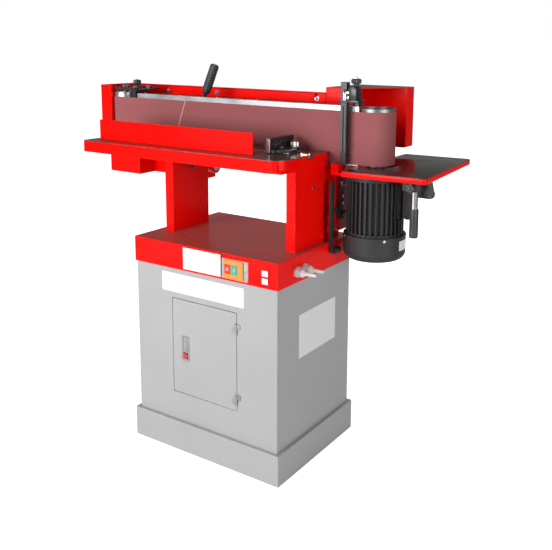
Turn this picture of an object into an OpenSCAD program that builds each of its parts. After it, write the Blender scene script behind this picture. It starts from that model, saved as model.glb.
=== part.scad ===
// Belt edge sander on a closed sheet steel stand.
// Millimetres, +Z up, +X along the belt to the right, the operator stands at -Y.
// The origin is the middle of the plinth, on the floor.

/* [Stand] */
// Cabinet width along the belt
cab_w = 512; // [400:1:650]
// Cabinet depth, front to back
cab_d = 384; // [300:1:500]
// Height of the plinth above the floor
plinth_h = 91; // [60:1:130]
// How far the plinth stands out beyond the cabinet
plinth_out = 11; // [5:1:25]
// Height of the cabinet's top edge
cab_top = 558; // [450:1:650]
// Sheet thickness of the cabinet
sheet_t = 2; // [1.5:0.5:3]
// Height of the red box on the cabinet
box_h = 75; // [55:1:100]
// Overhang of the red box beyond the cabinet
box_over = 4; // [2:1:10]
// Floor anchor hole diameter
anchor_d = 12; // [9:1:16]

/* [Door] */
// Door width
door_w = 235; // [180:1:300]
// Door height
door_h = 288; // [220:1:340]
// Height of the door's lower edge
door_z = 179; // [120:1:230]
// Gap round the door
door_gap = 1.6; // [1:0.1:3]
// Latch plate width
latch_w = 27; // [20:1:40]
// Latch plate height
latch_h = 77; // [60:1:110]

/* [Switch and cables] */
// Switch plate width
switch_w = 90; // [70:1:120]
// Switch plate height
switch_h = 56; // [45:1:64]
// Push button width
button_w = 20; // [12:1:20]
// Push button height
button_h = 26; // [16:1:32]
// Push button travel
button_travel = 3; // [2:0.5:4]
// Cable gland dome diameter
gland_d = 24; // [16:1:32]
// Spacing of the two glands
gland_gap = 38; // [34:1:60]
// Height of the glands above the red box's lower edge
gland_up = 31; // [24:1:44]
// Length of the bend relief tail on each gland
gland_tail = 34; // [20:1:60]

/* [Posts and table] */
// Width of each post along the belt
post_w = 31; // [24:1:45]
// Distance of the left post from the cabinet's left side
post_in = 25; // [20:1:40]
// Depth of each post
post_d = 164; // [120:1:200]
// Left end of the main table
table_x0 = -516; // [-560:1:-440]
// Right end of the main table
table_x1 = 239; // [200:1:280]
// Front edge of the main table
table_y0 = -157; // [-190:1:-120]
// Back edge of the main table, in front of the belt
table_y1 = 86; // [80:1:88]
// Height of the main table's top
table_z = 897; // [840:1:960]
// Depth of the red apron under the table top
apron_h = 36; // [25:1:50]
// Radius of the table's right front corner
corner_r = 42; // [20:1:60]
// Height of the long guide plate
guide_h = 62; // [40:1:90]
// Width of the miter gauge slot
slot_w = 19; // [15:0.5:22]

/* [Belt and drums] */
// Belt width
belt_w = 150; // [100:1:200]
// Belt thickness
belt_t = 1.2; // [0.8:0.1:2]
// Front face of the belt
belt_y = 92; // [91:0.5:96]
// Height of the belt's lower edge
belt_z = 865; // [850:1:880]
// Drive drum radius
drum_r = 52.1; // [45:0.1:60]
// Drive drum centre along the belt
drum_x = 364; // [340:1:390]
// Idler drum radius
idler_r = 39.7; // [30:0.1:45]
// Idler drum centre along the belt
idler_x = -619; // [-640:1:-600]
// Height of the platen's top edge
platen_top = 1030; // [1020:1:1045]

/* [Sanding head] */
// Tilt pivot distance behind the stand's middle
pivot_y = 138; // [134:1:142]
// Tilt pivot height
pivot_z = 800; // [796:1:802]
// Trunnion pin radius
trun_r = 12; // [9:0.5:13]
// Rear cover plane behind the belt
cover_y = 242; // [230:1:260]
// Height of the rear cover's top edge
cover_top = 1054; // [1040:1:1080]
// Hood back wall
hood_y = 455; // [420:1:470]
// Hood right wall
hood_x1 = 333; // [300:1:334]
// Height of the hood's top
hood_top = 1070; // [1060:1:1090]
// Dust port outer diameter
port_d = 100; // [80:1:120]

/* [Motor] */
// Radius over the cooling ribs
motor_r = 84; // [70:1:95]
// Number of cooling ribs
rib_n = 34; // [24:1:40]
// Height of the lower end of the ribbed housing
motor_z0 = 663; // [640:1:690]
// Radius of the fan cover
fan_r = 91; // [80:1:96]
// Height of the fan cover's bottom
fan_z0 = 591; // [570:1:620]

/* [End table and stop] */
// End table left edge
etab_x0 = 338; // [336:1:350]
// End table right edge
etab_x1 = 569; // [520:1:620]
// End table front edge
etab_y0 = -10; // [-60:1:20]
// End table back edge
etab_y1 = 400; // [300:1:420]
// Height of the end table's top
etab_z = 862; // [855:1:863]
// End table thickness
etab_t = 12.5; // [10:0.5:20]
// Chrome post diameter under the end table
stem_d = 19; // [14:1:25]
// Work stop bar width
stop_w = 19; // [12:1:26]

/* [Controls] */
// Tension lever grip diameter
grip_d = 30; // [22:1:36]
// Tension lever lean to the right, in degrees
lever_lean = 24; // [10:1:35]
// Star knob diameter
star_d = 50; // [36:1:64]
// Miter gauge fence length
fence_l = 120; // [80:1:160]
// Miter gauge fence height
fence_h = 40; // [25:1:55]

/* [Part to show] */
// One sub-part, or all of them

/* [Hidden] */
$fn = 64;
eps = 0.01;
run = 0.05;
plinth_w = cab_w + 2 * plinth_out;
plinth_d = cab_d + 2 * plinth_out;
box_w = cab_w + 2 * box_over;
box_d = cab_d + 2 * box_over;
box_top = cab_top + box_h;
front_y = -cab_d / 2;
bfront_y = -box_d / 2;
door_x0 = -door_w / 2;
door_x1 = door_w / 2;
hinge_x = door_x1 + door_gap / 2;
hinge_y = front_y - 3.6;
latch_x = door_x0 + 48;
latch_z = door_z + 141;
// the upper machine keeps its place to the cabinet's right side
head_x = cab_w / 2 - 256;
lpost_x = post_in - cab_w / 2 - head_x;
rpost_x = table_x1 - post_w + 1;
post_y0 = -91;
rpost_y0 = -84;
rpost_y1 = 88;
post_top = table_z - apron_h;
under_z = table_z - 8;
slot_y = -14;
run_y = belt_y + belt_t;
drum_y = run_y + 0.3 + drum_r;
idler_y = run_y + 0.3 + idler_r;
belt_in = drum_r + 0.3;
belt_in2 = idler_r + 0.3;
belt_top = belt_z + belt_w;
bed_z = 834;
bed_t = 8;
bed_top = bed_z + bed_t;
cover_x0 = -697;
arm_gap = 5.6;
arm_t = 8;
larm_x = lpost_x - arm_gap;
rarm_x = table_x1 + arm_gap;
shaft_r = 14;
lever_x = -302;
lever_y = 152;
lever_z = 975;
guide_y = -106;
gpiv_x = 145;
stem_x = 508;
stem_y = 100;
tlev_y = 138;
tlev_z = 706;
switch_x = 118;
gland_y = -108;
switch_z = cab_top + 34;
switch_cx = switch_x - 3;
red_x = switch_cx - 29.5;
green_x = red_x + button_w + 3.1;

module rsq(x, y, r) {
  translate([r, 0]) square([x - 2 * r, y]);
  translate([0, r]) square([x, y - 2 * r]);
  for (i = [r, x - r], j = [r, y - r]) translate([i, j]) circle(r);
}
module rbox(x, y, z, r) { linear_extrude(z) rsq(x, y, r); }
module alongx(l, r) { rotate([0, 90, 0]) cylinder(h = l, r = r); }
module alongy(l, r) { rotate([-90, 0, 0]) cylinder(h = l, r = r); }
module hexz(h, af) { cylinder(h = h, r = af / 1.732, $fn = 6); }
module hexx(h, af) { rotate([0, 90, 0]) cylinder(h = h, r = af / 1.732, $fn = 6); }
module hexy(h, af) { rotate([-90, 0, 0]) cylinder(h = h, r = af / 1.732, $fn = 6); }
// A plate given by its outline in Y and Z, standing across X
module platex(x, t) { translate([x, 0, 0]) rotate([90, 0, 90]) linear_extrude(t) children(); }

module plinth() {
  color([0.66, 0.67, 0.67]) difference() {
    translate([-plinth_w / 2, -plinth_d / 2, 0]) cube([plinth_w, plinth_d, plinth_h]);
    translate([3 - plinth_w / 2, 3 - plinth_d / 2, 4])
      cube([plinth_w - 6, plinth_d - 6, plinth_h - 7]);
    translate([48 - plinth_w / 2, 48 - plinth_d / 2, -1]) cube([plinth_w - 96, plinth_d - 96, 6]);
    translate([36 - plinth_w / 2, 36 - plinth_d / 2, plinth_h - 4])
      cube([plinth_w - 72, plinth_d - 72, 6]);
    for (i = [-1, 1], j = [-1, 1]) translate([i * (plinth_w / 2 - 26), j * (plinth_d / 2 - 26), -1])
      cylinder(h = 6, r = anchor_d / 2);
  }
}

module cabinet_shell() {
  h = cab_top - plinth_h;
  color([0.68, 0.69, 0.69]) difference() {
    translate([-cab_w / 2, -cab_d / 2, plinth_h]) cube([cab_w, cab_d, h]);
    translate([sheet_t - cab_w / 2, sheet_t - cab_d / 2, plinth_h + sheet_t])
      cube([cab_w - 2 * sheet_t, cab_d - 2 * sheet_t, h - 2 * sheet_t]);
    for (z = [plinth_h - 1, cab_top - sheet_t - 1])
      translate([26 - cab_w / 2, 26 - cab_d / 2, z]) cube([cab_w - 52, cab_d - 52, sheet_t + 2]);
    translate([door_x0 - door_gap, front_y - 1, door_z - door_gap])
      cube([door_w + 2 * door_gap, sheet_t + 2, door_h + 2 * door_gap]);
  }
}

module base_box() {
  color([0.86, 0.03, 0.03]) difference() {
    translate([-box_w / 2, -box_d / 2, cab_top]) cube([box_w, box_d, box_h]);
    translate([3 - box_w / 2, 3 - box_d / 2, cab_top + 3])
      cube([box_w - 6, box_d - 6, box_h - 6]);
    translate([36 - box_w / 2, 36 - box_d / 2, cab_top - 1])
      cube([box_w - 72, box_d - 72, 6]);
    translate([switch_cx - 30, bfront_y - 1, switch_z - 24]) cube([60, 6, 48]);
    for (y = [gland_y, gland_y + gland_gap]) translate([box_w / 2 - 5, y, cab_top + gland_up]) alongx(8, 8);
  }
}

module switch_plate() {
  color([0.62, 0.6, 0.58]) difference() {
    translate([switch_x - switch_w / 2, bfront_y - 2, switch_z - switch_h / 2])
      cube([switch_w, 2, switch_h]);
    translate([switch_cx - 30, bfront_y - 4, switch_z - 24]) cube([60, 6, 48]);
  }
  for (i = [-1, 1]) color([0.3, 0.3, 0.3]) difference() {
    translate([switch_x + i * (switch_w / 2 - 5.5), bfront_y - 4, switch_z]) alongy(2, 3.4);
    translate([switch_x + i * (switch_w / 2 - 5.5) - 0.5, bfront_y - 4.2, switch_z - 4]) cube([1, 1, 8]);
  }
}

module switch_body() {
  color([0.9, 0.55, 0.1]) difference() {
    union() {
      translate([switch_cx - 33, bfront_y - 5.5, switch_z - 26]) cube([66, 3.5, 52]);
      translate([switch_cx - 29.5, bfront_y - 3, switch_z - 23.5]) cube([59, 42, 47]);
    }
    for (x = [red_x, green_x]) translate([x - 0.3, bfront_y - 6, switch_z - button_h / 2 - 0.3])
      cube([button_w + 0.6, 16, button_h + 0.6]);
  }
}
module push_button(x) {
  translate([x, bfront_y - 7, switch_z - button_h / 2]) cube([button_w, 12, button_h]);
}
module stop_button() { color([0.8, 0.04, 0.04]) push_button(red_x); }
module start_button() {
  color([0.1, 0.6, 0.45]) push_button(green_x);
}

module cable_glands() {
  for (y = [gland_y, gland_y + gland_gap]) color([0.82, 0.82, 0.8])
    translate([box_w / 2, y, cab_top + gland_up]) {
      hexx(8, 27);
      difference() {
        union() {
          translate([-9, 0, 0]) alongx(10, 7.8);
          translate([8, 0, 0]) alongx(14, gland_d / 2);
          translate([22, 0, 0]) rotate([0, 90, 0]) cylinder(h = 8, r1 = gland_d / 2, r2 = 7);
          translate([30, 0, 0]) rotate([0, 90, 0]) cylinder(h = gland_tail, r1 = 6, r2 = 4.5);
        }
        translate([-10, 0, 0]) alongx(gland_tail + 50, 3);
        for (a = [0:45:315]) rotate([a, 0, 0]) translate([7, gland_d / 2 - 0.8, -1]) cube([13, 2, 2]);
      }
      translate([-7, 0, 0]) difference() { hexx(3.9, 24); translate([-1, 0, 0]) alongx(6, 7.8); }
    }
}

module name_plate() {
  // one on the front above the door, one on the right side
  color([0.95, 0.95, 0.94]) {
    translate([-156, front_y - 0.8, 486]) cube([300, 0.8, 57]);
    translate([cab_w / 2, -87, 330]) cube([0.8, 196, 128]);
  }
}

// Fixed leaf and knuckles at x, swinging leaf when swing is true
module knuckles(swing) {
  for (z = [door_z + 34, door_z + 242]) translate([hinge_x, hinge_y, z]) difference() {
    union() {
      if (swing) {
        translate([0, 0, -15]) cylinder(h = 14.8, r = 3.5);
        translate([-14, 0.8, -15]) cube([14, 2, 14.8]);
        translate([-14, 1.6, -15]) cube([4, 2, 14.8]);
      } else {
        cylinder(h = 15, r = 3.5);
        translate([0, 0.8, 0]) cube([13, 2.8, 15]);
      }
    }
    if (!swing) translate([0, 0, -1]) cylinder(h = 17, r = 2 + run);
  }
}
module hinge_leaves() { color([0.7, 0.7, 0.7]) knuckles(false); }
module door_hinges() {
  color([0.7, 0.7, 0.7]) {
    knuckles(true);
    for (z = [door_z + 34, door_z + 242]) translate([hinge_x, hinge_y, z - 2])
      cylinder(h = 19, r = 2);
  }
}

module door_panel() {
  color([0.68, 0.69, 0.69]) difference() {
    union() {
      translate([door_x0, front_y, door_z]) cube([door_w, sheet_t, door_h]);
      difference() {
        translate([door_x0 + 3, front_y + sheet_t, door_z + 3]) cube([door_w - 6, 16, door_h - 6]);
        translate([door_x0 + 5, front_y, door_z + 5]) cube([door_w - 10, 30, door_h - 10]);
      }
    }
    translate([latch_x - latch_w / 2 + 2, front_y - 1, latch_z - latch_h / 2 + 2])
      cube([latch_w - 4, 6, latch_h - 4]);
    translate([door_x0 - 1, front_y + 7.6, latch_z - 22]) cube([8, 7, 10]);
  }
}

module latch_housing() {
  color([0.55, 0.56, 0.57]) difference() {
    union() {
      translate([latch_x - latch_w / 2, front_y - 1.5, latch_z - latch_h / 2])
        cube([latch_w, 1.5, latch_h]);
      translate([latch_x - latch_w / 2 + 2.3, front_y - 0.5, latch_z - latch_h / 2 + 2.3])
        cube([latch_w - 4.6, 16, latch_h - 4.6]);
    }
    // pocket for the paddle above, well for the button below
    translate([latch_x - 9.6, front_y - 3, latch_z - 6]) cube([19.2, 13, 41]);
    translate([latch_x - 9, front_y - 3, latch_z - 31]) cube([18, 9, 20]);
    translate([latch_x - 12, front_y + 7.4, latch_z - 23]) cube([30, 7.4, 12]);
    translate([latch_x - 20, front_y + 7.4, latch_z - 22.2]) cube([20, 7.2, 10.4]);
    translate([latch_x - 12, front_y + 3.5, latch_z + 30]) alongx(24, 1.5 + run);
  }
}
module latch_lever() {
  color([0.5, 0.51, 0.52]) {
    translate([latch_x - 9, front_y - 1, latch_z - 5]) cube([18, 2.5, 33]);
    translate([latch_x - 9, front_y + 3.5, latch_z + 30]) alongx(18, 3.2);
    translate([latch_x - 9, front_y - 1, latch_z + 26]) cube([18, 4.5, 4]);
    translate([latch_x - 11.2, front_y + 3.5, latch_z + 30]) alongx(22.4, 1.5);
  }
}
module latch_button() {
  color([0.8, 0.05, 0.05]) {
    translate([latch_x, front_y - 3, latch_z - 21]) alongy(5.8, 8.6);
  }
}
module latch_tongue() {
  color([0.6, 0.6, 0.6]) difference() {
    translate([latch_x - 47, front_y + 7.8, latch_z - 21.8]) cube([54, 6.4, 9.4]);
    translate([latch_x - 48, front_y + 7, latch_z - 15]) rotate([0, -28, 0]) cube([8, 9, 12]);
  }
}

module left_post() translate([head_x, 0, 0]) {
  color([0.86, 0.03, 0.03]) difference() {
    translate([lpost_x, post_y0, box_top]) cube([post_w, post_d, post_top - box_top]);
    translate([lpost_x + 3, post_y0 + 3, box_top + 5])
      cube([post_w - 6, post_d - 6, post_top - box_top - 8]);
    translate([lpost_x + post_w - 6, -20, table_z - 51]) alongx(10, 6 + run);
  }
}
module right_post() translate([head_x, 0, 0]) {
  color([0.86, 0.03, 0.03]) difference() {
    union() {
      translate([rpost_x, rpost_y0, box_top])
        cube([table_x1 - rpost_x, rpost_y1 - rpost_y0, post_top - box_top]);
      translate([table_x1 - 0.5, 64, 656]) alongx(2.9, 14);
    }
    translate([rpost_x + 3, rpost_y0 + 3, box_top + 5])
      cube([table_x1 - rpost_x - 6, rpost_y1 - rpost_y0 - 6, post_top - box_top - 8]);
  }
}

// Outline of one pivot bracket in Y and Z
module bracket_2d(y0, low, boss) {
  difference() {
    union() {
      polygon([[y0, pivot_z - low], [y0 + 8, pivot_z - low], [pivot_y - 6, pivot_z + 0.6 - boss],
        [pivot_y, pivot_z + boss - 2], [102, 828], [y0 + 10, post_top - 3], [y0, post_top - 3]]);
      translate([pivot_y, pivot_z]) circle(boss);
    }
    translate([pivot_y, pivot_z]) circle(trun_r + run);
  }
}
module pivot_brackets() translate([head_x, 0, 0]) {
  color([0.86, 0.03, 0.03]) {
    platex(lpost_x, 12) bracket_2d(post_y0 + post_d, -6, 20);
    platex(table_x1 - 12, 12) bracket_2d(rpost_y1, 62, 30);
  }
}

module table_2d(inset) {
  r = corner_r - inset;
  x1 = table_x1 - inset;
  y0 = table_y0 + inset;
  difference() {
    translate([table_x0 + inset, y0]) square([x1 - table_x0 - inset, table_y1 - y0]);
    translate([x1 - r, y0 - 1]) square([r + 1, r + 1]);
    translate([table_x0 + inset - 1, y0 - 1]) square([7, 7]);
  }
  translate([x1 - r, y0 + r]) circle(r);
  translate([table_x0 + inset + 6, y0 + 6]) circle(6);
}
module table_apron() translate([head_x, 0, 0]) {
  color([0.86, 0.03, 0.03]) {
    difference() {
      translate([0, 0, post_top]) linear_extrude(apron_h - 2) table_2d(0);
      translate([0, 0, post_top - 1]) linear_extrude(apron_h + 2) table_2d(4);
      translate([table_x0 - 1, slot_y - slot_w / 2 - 2, under_z - 5])
        cube([table_x1 - table_x0 + 2, slot_w + 4, 20]);
    }
    // rear edge and the two cross rails over the posts
    translate([table_x0 + 3.9, table_y1 - 4, post_top]) cube([table_x1 - table_x0 - 7.8, 4, 27.9]);
    for (x = [lpost_x, rpost_x]) translate([x, table_y0 + 3.9, post_top])
      cube([post_w - 1, table_y1 - table_y0 - 7.8, 6]);
    for (x = [lpost_x, rpost_x + 10, -400, 20]) translate([x, table_y0 + 3.9, post_top])
      cube([5, table_y1 - table_y0 - 7.8, 23]);
  }
}
module table_top() translate([head_x, 0, 0]) {
  color([0.42, 0.42, 0.43]) difference() {
    union() {
      translate([0, 0, under_z]) linear_extrude(7.9) table_2d(4.1);
      translate([0, 0, table_z - 2]) linear_extrude(2) table_2d(0);
      translate([table_x0 + 4.2, slot_y - slot_w / 2 - 6, under_z - 5])
        cube([table_x1 - table_x0 - 8.4, slot_w + 12, 6]);
    }
    translate([table_x0 - 1, slot_y - slot_w / 2, table_z - 9.5])
      cube([table_x1 - table_x0 + 2, slot_w, 20]);
    for (x = [-450, -190, 80]) translate([x, guide_y + 13, table_z - 9]) cylinder(h = 12, r = 3);
  }
}

module guide_plate() translate([head_x, 0, 0]) {
  color([0.88, 0.03, 0.03]) difference() {
    union() {
      translate([-493, guide_y, table_z]) cube([604, 3, guide_h]);
      translate([-493, guide_y, table_z]) cube([604, 24, 3]);
    }
    for (x = [-450, -190, 80]) translate([x, guide_y + 13, table_z - 1]) cylinder(h = 6, r = 3.2);
  }
}

module fasteners() translate([head_x, 0, 0]) {
  // guide plate screws and the bolt on the right post
  for (x = [-450, -190, 80]) color([0.75, 0.75, 0.76]) {
    translate([x, guide_y + 13, table_z + 3]) cylinder(h = 3.2, r = 5.5);
    translate([x, guide_y + 13, table_z - 7]) cylinder(h = 10.5, r = 2.9);
  }
  color([0.75, 0.75, 0.76]) translate([table_x1, 9, 802]) hexx(3.4, 11);
}

module star_knob() translate([head_x, 0, 0]) {
  color([0.06, 0.06, 0.06]) translate([lpost_x + post_w + 0.4, -20, table_z - 51])
    rotate([0, 90, 0]) {
      cylinder(h = 12, r = 12);
      translate([0, 0, 6]) difference() {
        cylinder(h = 16, r = star_d / 2);
        for (a = [0:60:300]) rotate(a + 30) translate([star_d / 2 + 3, 0, -1])
          cylinder(h = 20, r = 9);
      }
      translate([0, 0, 21.9]) cylinder(h = 2, r = 10);
      translate([0, 0, -14]) cylinder(h = 15, r = 6);
    }
}

module gauge_bar() translate([head_x, 0, 0]) {
  w = slot_w - 2 * run - 0.2;
  color([0.5, 0.5, 0.5]) difference() {
    union() {
      translate([gpiv_x - 200, slot_y - w / 2, table_z - 9.3]) cube([table_x1 + 5 + 200 - gpiv_x, w, 9.3]);
      translate([gpiv_x - 12, slot_y - w / 2, table_z - 1]) cube([42, w, 1.6]);
      translate([gpiv_x - 12, slot_y - w / 2, table_z + 0.2]) cube([42, 68, 2.4]);
      // pivot pin of the head, and the stud of the clamp knob
      translate([gpiv_x, slot_y, table_z]) cylinder(h = 17, r = 4 - run);
      translate([gpiv_x + 12, slot_y + 46, table_z]) cylinder(h = 20, r = 3.2);
    }
  }
  color([0.8, 0.62, 0.3]) difference() {
    translate([table_x1 - 26, slot_y - 6, table_z - 0.01]) cube([31, 12, 5]);
    translate([table_x1 - 27, slot_y - 7, table_z + 2]) rotate([0, 12, 0]) translate([0, 0, 3.5])
      cube([40, 14, 8]);
  }
}
module gauge_head() translate([head_x, 0, 0]) {
  color([0.13, 0.13, 0.14]) translate([gpiv_x, slot_y, table_z + 2.8]) difference() {
    union() {
      intersection() {
        translate([-8, 12, 0]) cylinder(h = 8, r = 48);
        translate([-8, -60, -1]) cube([80, 120, 12]);
      }
      translate([-8, -42, 0]) cube([12, 100, 8]);
      cylinder(h = 13, r = 8.2);
    }
    // curved clamp slot, 45 degrees each way
    difference() {
      translate([0, 0, -1]) cylinder(h = 12, r = 51.5);
      translate([0, 0, -2]) cylinder(h = 14, r = 43.5);
      translate([-60, -60, -3]) cube([60, 130, 20]);
      rotate(22) translate([-60, -140, -3]) cube([120, 140, 20]);
    }
    translate([0, 0, -1]) cylinder(h = 20, r = 4);
  }
}
module gauge_fence() translate([head_x, 0, 0]) {
  color([0.78, 0.79, 0.8]) translate([gpiv_x - 26, slot_y + 14 - fence_l / 2, table_z + 2.8]) difference() {
    cube([17.6, fence_l, fence_h]);
    translate([12, -1, fence_h / 2 - 4]) cube([20, fence_l + 2, 8]);
  }
}
module gauge_knob() translate([head_x, 0, 0]) {
  color([0.82, 0.82, 0.84]) translate([gpiv_x + 12, slot_y + 46, table_z]) difference() {
    union() {
      translate([0, 0, 11.1]) cylinder(h = 2, r = 8);
      translate([0, 0, 13]) difference() {
        cylinder(h = 14, r = 12);
        for (a = [0:45:315]) rotate(a) translate([14.2, 0, -1]) cylinder(h = 18, r = 4);
      }
      translate([0, 0, 26.9]) cylinder(h = 2, r1 = 8, r2 = 6);
    }
    translate([0, 0, 5]) cylinder(h = 15.5, r = 3.2 + run);
  }
}

// The head, from the bed under the belt to the cover behind it
module head_bed() translate([head_x, 0, 0]) {
  color([0.86, 0.03, 0.03]) {
    difference() {
      union() {
        translate([-642, 106, bed_z]) cube([1006, cover_y - 106, bed_t]);
        translate([drum_x, drum_y, bed_z]) cylinder(h = bed_t, r = 90);
        translate([262, 62, bed_z]) cube([102, 60, bed_t]);
        translate([drum_x + 60, 76, bed_z]) cube([stem_x - drum_x - 36, 48, bed_t]);
      }
      translate([drum_x, drum_y, bed_z - 1]) cylinder(h = 20, r = 42);
      for (a = [45:90:315]) translate([drum_x, drum_y, bed_z - 1]) rotate(a)
        translate([65, 0, 0]) cylinder(h = 20, r = 5);
      translate([stem_x, stem_y, bed_z - 1]) cylinder(h = 20, r = stem_d / 2 + 0.6);
    }
    // stiffening ribs below the bed
    for (y = [114, 214]) {
      translate([-516, y, bed_z - 20]) cube([516 + larm_x - arm_t, 6, 20]);
      translate([lpost_x + 26, y, bed_z - 20]) cube([rpost_x + 7 - lpost_x - 26, 6, 20]);
    }
    // box beam to the left pivot
    difference() {
      translate([-518, 160, 753]) cube([241, 42, bed_z - 753]);
      translate([-514, 164, 757]) cube([233, 34, bed_z - 761]);
    }
    // left pivot arm
    platex(larm_x - arm_t, arm_t) difference() {
      union() {
        translate([pivot_y, pivot_z]) circle(20);
        translate([118, pivot_z]) square([102, bed_z - pivot_z]);
        polygon([[pivot_y, pivot_z - 20], [202, 806], [220, bed_z], [pivot_y, bed_z]]);
      }
      translate([pivot_y, pivot_z]) circle(trun_r);
    }
    // right pivot arm, reaching down beside the motor
    platex(rarm_x, arm_t) difference() {
      union() {
        polygon([[106, bed_z], [110, 715], [122, 668], [136, 655], [192, 655], [208, 676],
          [216, bed_z]]);
        translate([pivot_y, pivot_z]) circle(14);
      }
      translate([pivot_y, pivot_z]) circle(trun_r);
      translate([tlev_y, tlev_z]) circle(5);
    }
    // red foot beside the work stop
    translate([262, 62, bed_top]) cube([25, 30 - 2, 24]);
  }
}

module trunnion_pins() translate([head_x, 0, 0]) {
  color([0.6, 0.6, 0.62]) {
    for (x0 = [larm_x - arm_t, table_x1 - 12])
      translate([x0, pivot_y, pivot_z]) alongx(arm_t + arm_gap + 12, trun_r);
    for (c0 = [larm_x + 0.2, table_x1 + 0.4])
      translate([c0, pivot_y, pivot_z]) alongx(arm_gap - 0.6, 17);
    translate([larm_x - arm_t - 5, pivot_y, pivot_z]) alongx(5, 13);
    // the right pin carries on through the tilt bar to a bolt head
    translate([rarm_x + arm_t - 1, pivot_y, pivot_z]) alongx(8, 6);
    translate([rarm_x + arm_t + 6, pivot_y, pivot_z]) hexx(7, 17);
  }
}

module rear_cover() translate([head_x, 0, 0]) {
  color([0.86, 0.03, 0.03]) {
    difference() {
      translate([cover_x0, cover_y - 2, bed_top]) cube([134 - cover_x0, 2, cover_top - bed_top]);
      for (x = [-522, -300, 100]) translate([x, cover_y - 4, 1034]) alongy(6, 3.5);
    }
    translate([cover_x0 + 2.1, cover_y - 12, cover_top - 3]) cube([131.9 - cover_x0, 12, 3]);
    translate([cover_x0 + 2.1, cover_y - 8, cover_top - 34]) cube([131.9 - cover_x0, 6.5, 5]);
    translate([-642, cover_y - 20, bed_top]) cube([770, 20, 2]);
    for (x = [-523, 98]) difference() {
      translate([x, cover_y - 12, cover_top - 30]) cube([3, 11, 28]);
      translate([x - 1, cover_y - 12, cover_top - 34]) rotate([38, 0, 0]) cube([5, 12, 40]);
    }
  }
  color([0.7, 0.7, 0.72]) for (x = [-522, -300, 100]) translate([x, cover_y - 5, 1034]) {
    hexy(3, 9);
    alongy(9, 3);
    translate([0, 5, 0]) hexy(3, 9);
  }
}

module end_guard() translate([head_x, 0, 0]) {
  color([0.88, 0.03, 0.03]) {
    translate([cover_x0, 89, bed_top]) cube([50, 2, cover_top - bed_top]);
    translate([cover_x0, 89, bed_top]) cube([2, cover_y - 91, cover_top - bed_top]);
    translate([cover_x0 + 48, 90.9, bed_top]) cube([2, 8, cover_top - bed_top]);
    translate([cover_x0, 89, bed_z]) cube([-642 - cover_x0, cover_y - 91, bed_t]);
    // box round the lower end of the idler
    difference() {
      translate([-659, 89, 753]) cube([141, 75, bed_top - 753]);
      translate([-657, 91, 755]) cube([137, 71, bed_z - 755 - 2]);
      translate([-642, 105.8, bed_z - 4]) cube([142, 100, 40]);
      translate([-640, 99, bed_z - 4]) cube([120, 100, 40]);
    }
  }
}

module dust_hood() translate([head_x, 0, 0]) {
  hx = 134;
  z0 = 881;
  yf = cover_y;
  color([0.86, 0.03, 0.03]) {
    // top, cut back at a slant round the drum
    translate([0, 0, hood_top - 2.5]) linear_extrude(2.5)
      polygon([[hx, yf], [hx, hood_y], [hood_x1, hood_y], [hood_x1, hood_y - 52], [hx + 80, yf]]);
    translate([hx, hood_y - 2.5, z0]) cube([hood_x1 - hx, 2.5, hood_top - z0 - 1]);
    translate([hood_x1 - 2.5, hood_y - 52, z0]) cube([2.5, 52, hood_top - z0 - 1]);
    difference() {
      translate([hx, yf, z0]) cube([2.5, hood_y - yf, hood_top - z0 - 1]);
      translate([hx - 1, (yf + hood_y) / 2, 968]) alongx(5, port_d / 2 - 3);
    }
    // floor lip and front seam to the cover
    translate([hx, yf, z0]) cube([40, 26, 2.5]);
    translate([hx, yf, bed_z]) cube([60, 2.5, 22]);
    translate([hx, yf, z0]) cube([2.5, 12, 2.5]);
    translate([hx, yf, bed_top + 1]) cube([60, 2.5, hood_top - bed_top - 3]);
    translate([hx, yf, z0]) difference() {
      cube([hood_x1 - hx, hood_y - yf, 2.5]);
      translate([46, -1, -1]) cube([180, 150, 5]);
    }
  }
}
// The port stands on the hood's hidden left wall
module dust_port() translate([head_x, 0, 0]) {
  color([0.86, 0.03, 0.03]) difference() {
    translate([86, (cover_y + hood_y) / 2, 968]) alongx(48, port_d / 2);
    translate([80, (cover_y + hood_y) / 2, 968]) alongx(60, port_d / 2 - 3);
  }
}

module platen() translate([head_x, 0, 0]) {
  color([0.72, 0.73, 0.74]) difference() {
    union() {
      translate([-526, run_y + 0.4, belt_z - 4]) cube([858, 8, platen_top - belt_z + 4]);
      translate([-526, run_y + 0.4, platen_top - 4]) cube([834, 22, 4]);
    }
    for (x = [-500, -345, -190, -35, 120, 275]) translate([x, run_y + 16, platen_top - 6])
      cylinder(h = 10, r = 2.6);
  }
}
module platen_brackets() translate([head_x, 0, 0]) {
  color([0.12, 0.12, 0.13]) for (x = [-470, -210, 20, 230]) {
    platex(x, 8) polygon([[run_y + 8.4, bed_top], [165, bed_top], [165, bed_top + 18],
      [run_y + 24, platen_top - 40], [run_y + 8.4, platen_top - 40]]);
    translate([x - 14, run_y + 8.4, belt_z + 30]) cube([36, 6, 90]);
    translate([x - 14, 112, bed_top]) cube([36, 50, 6]);
  }
}

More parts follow.
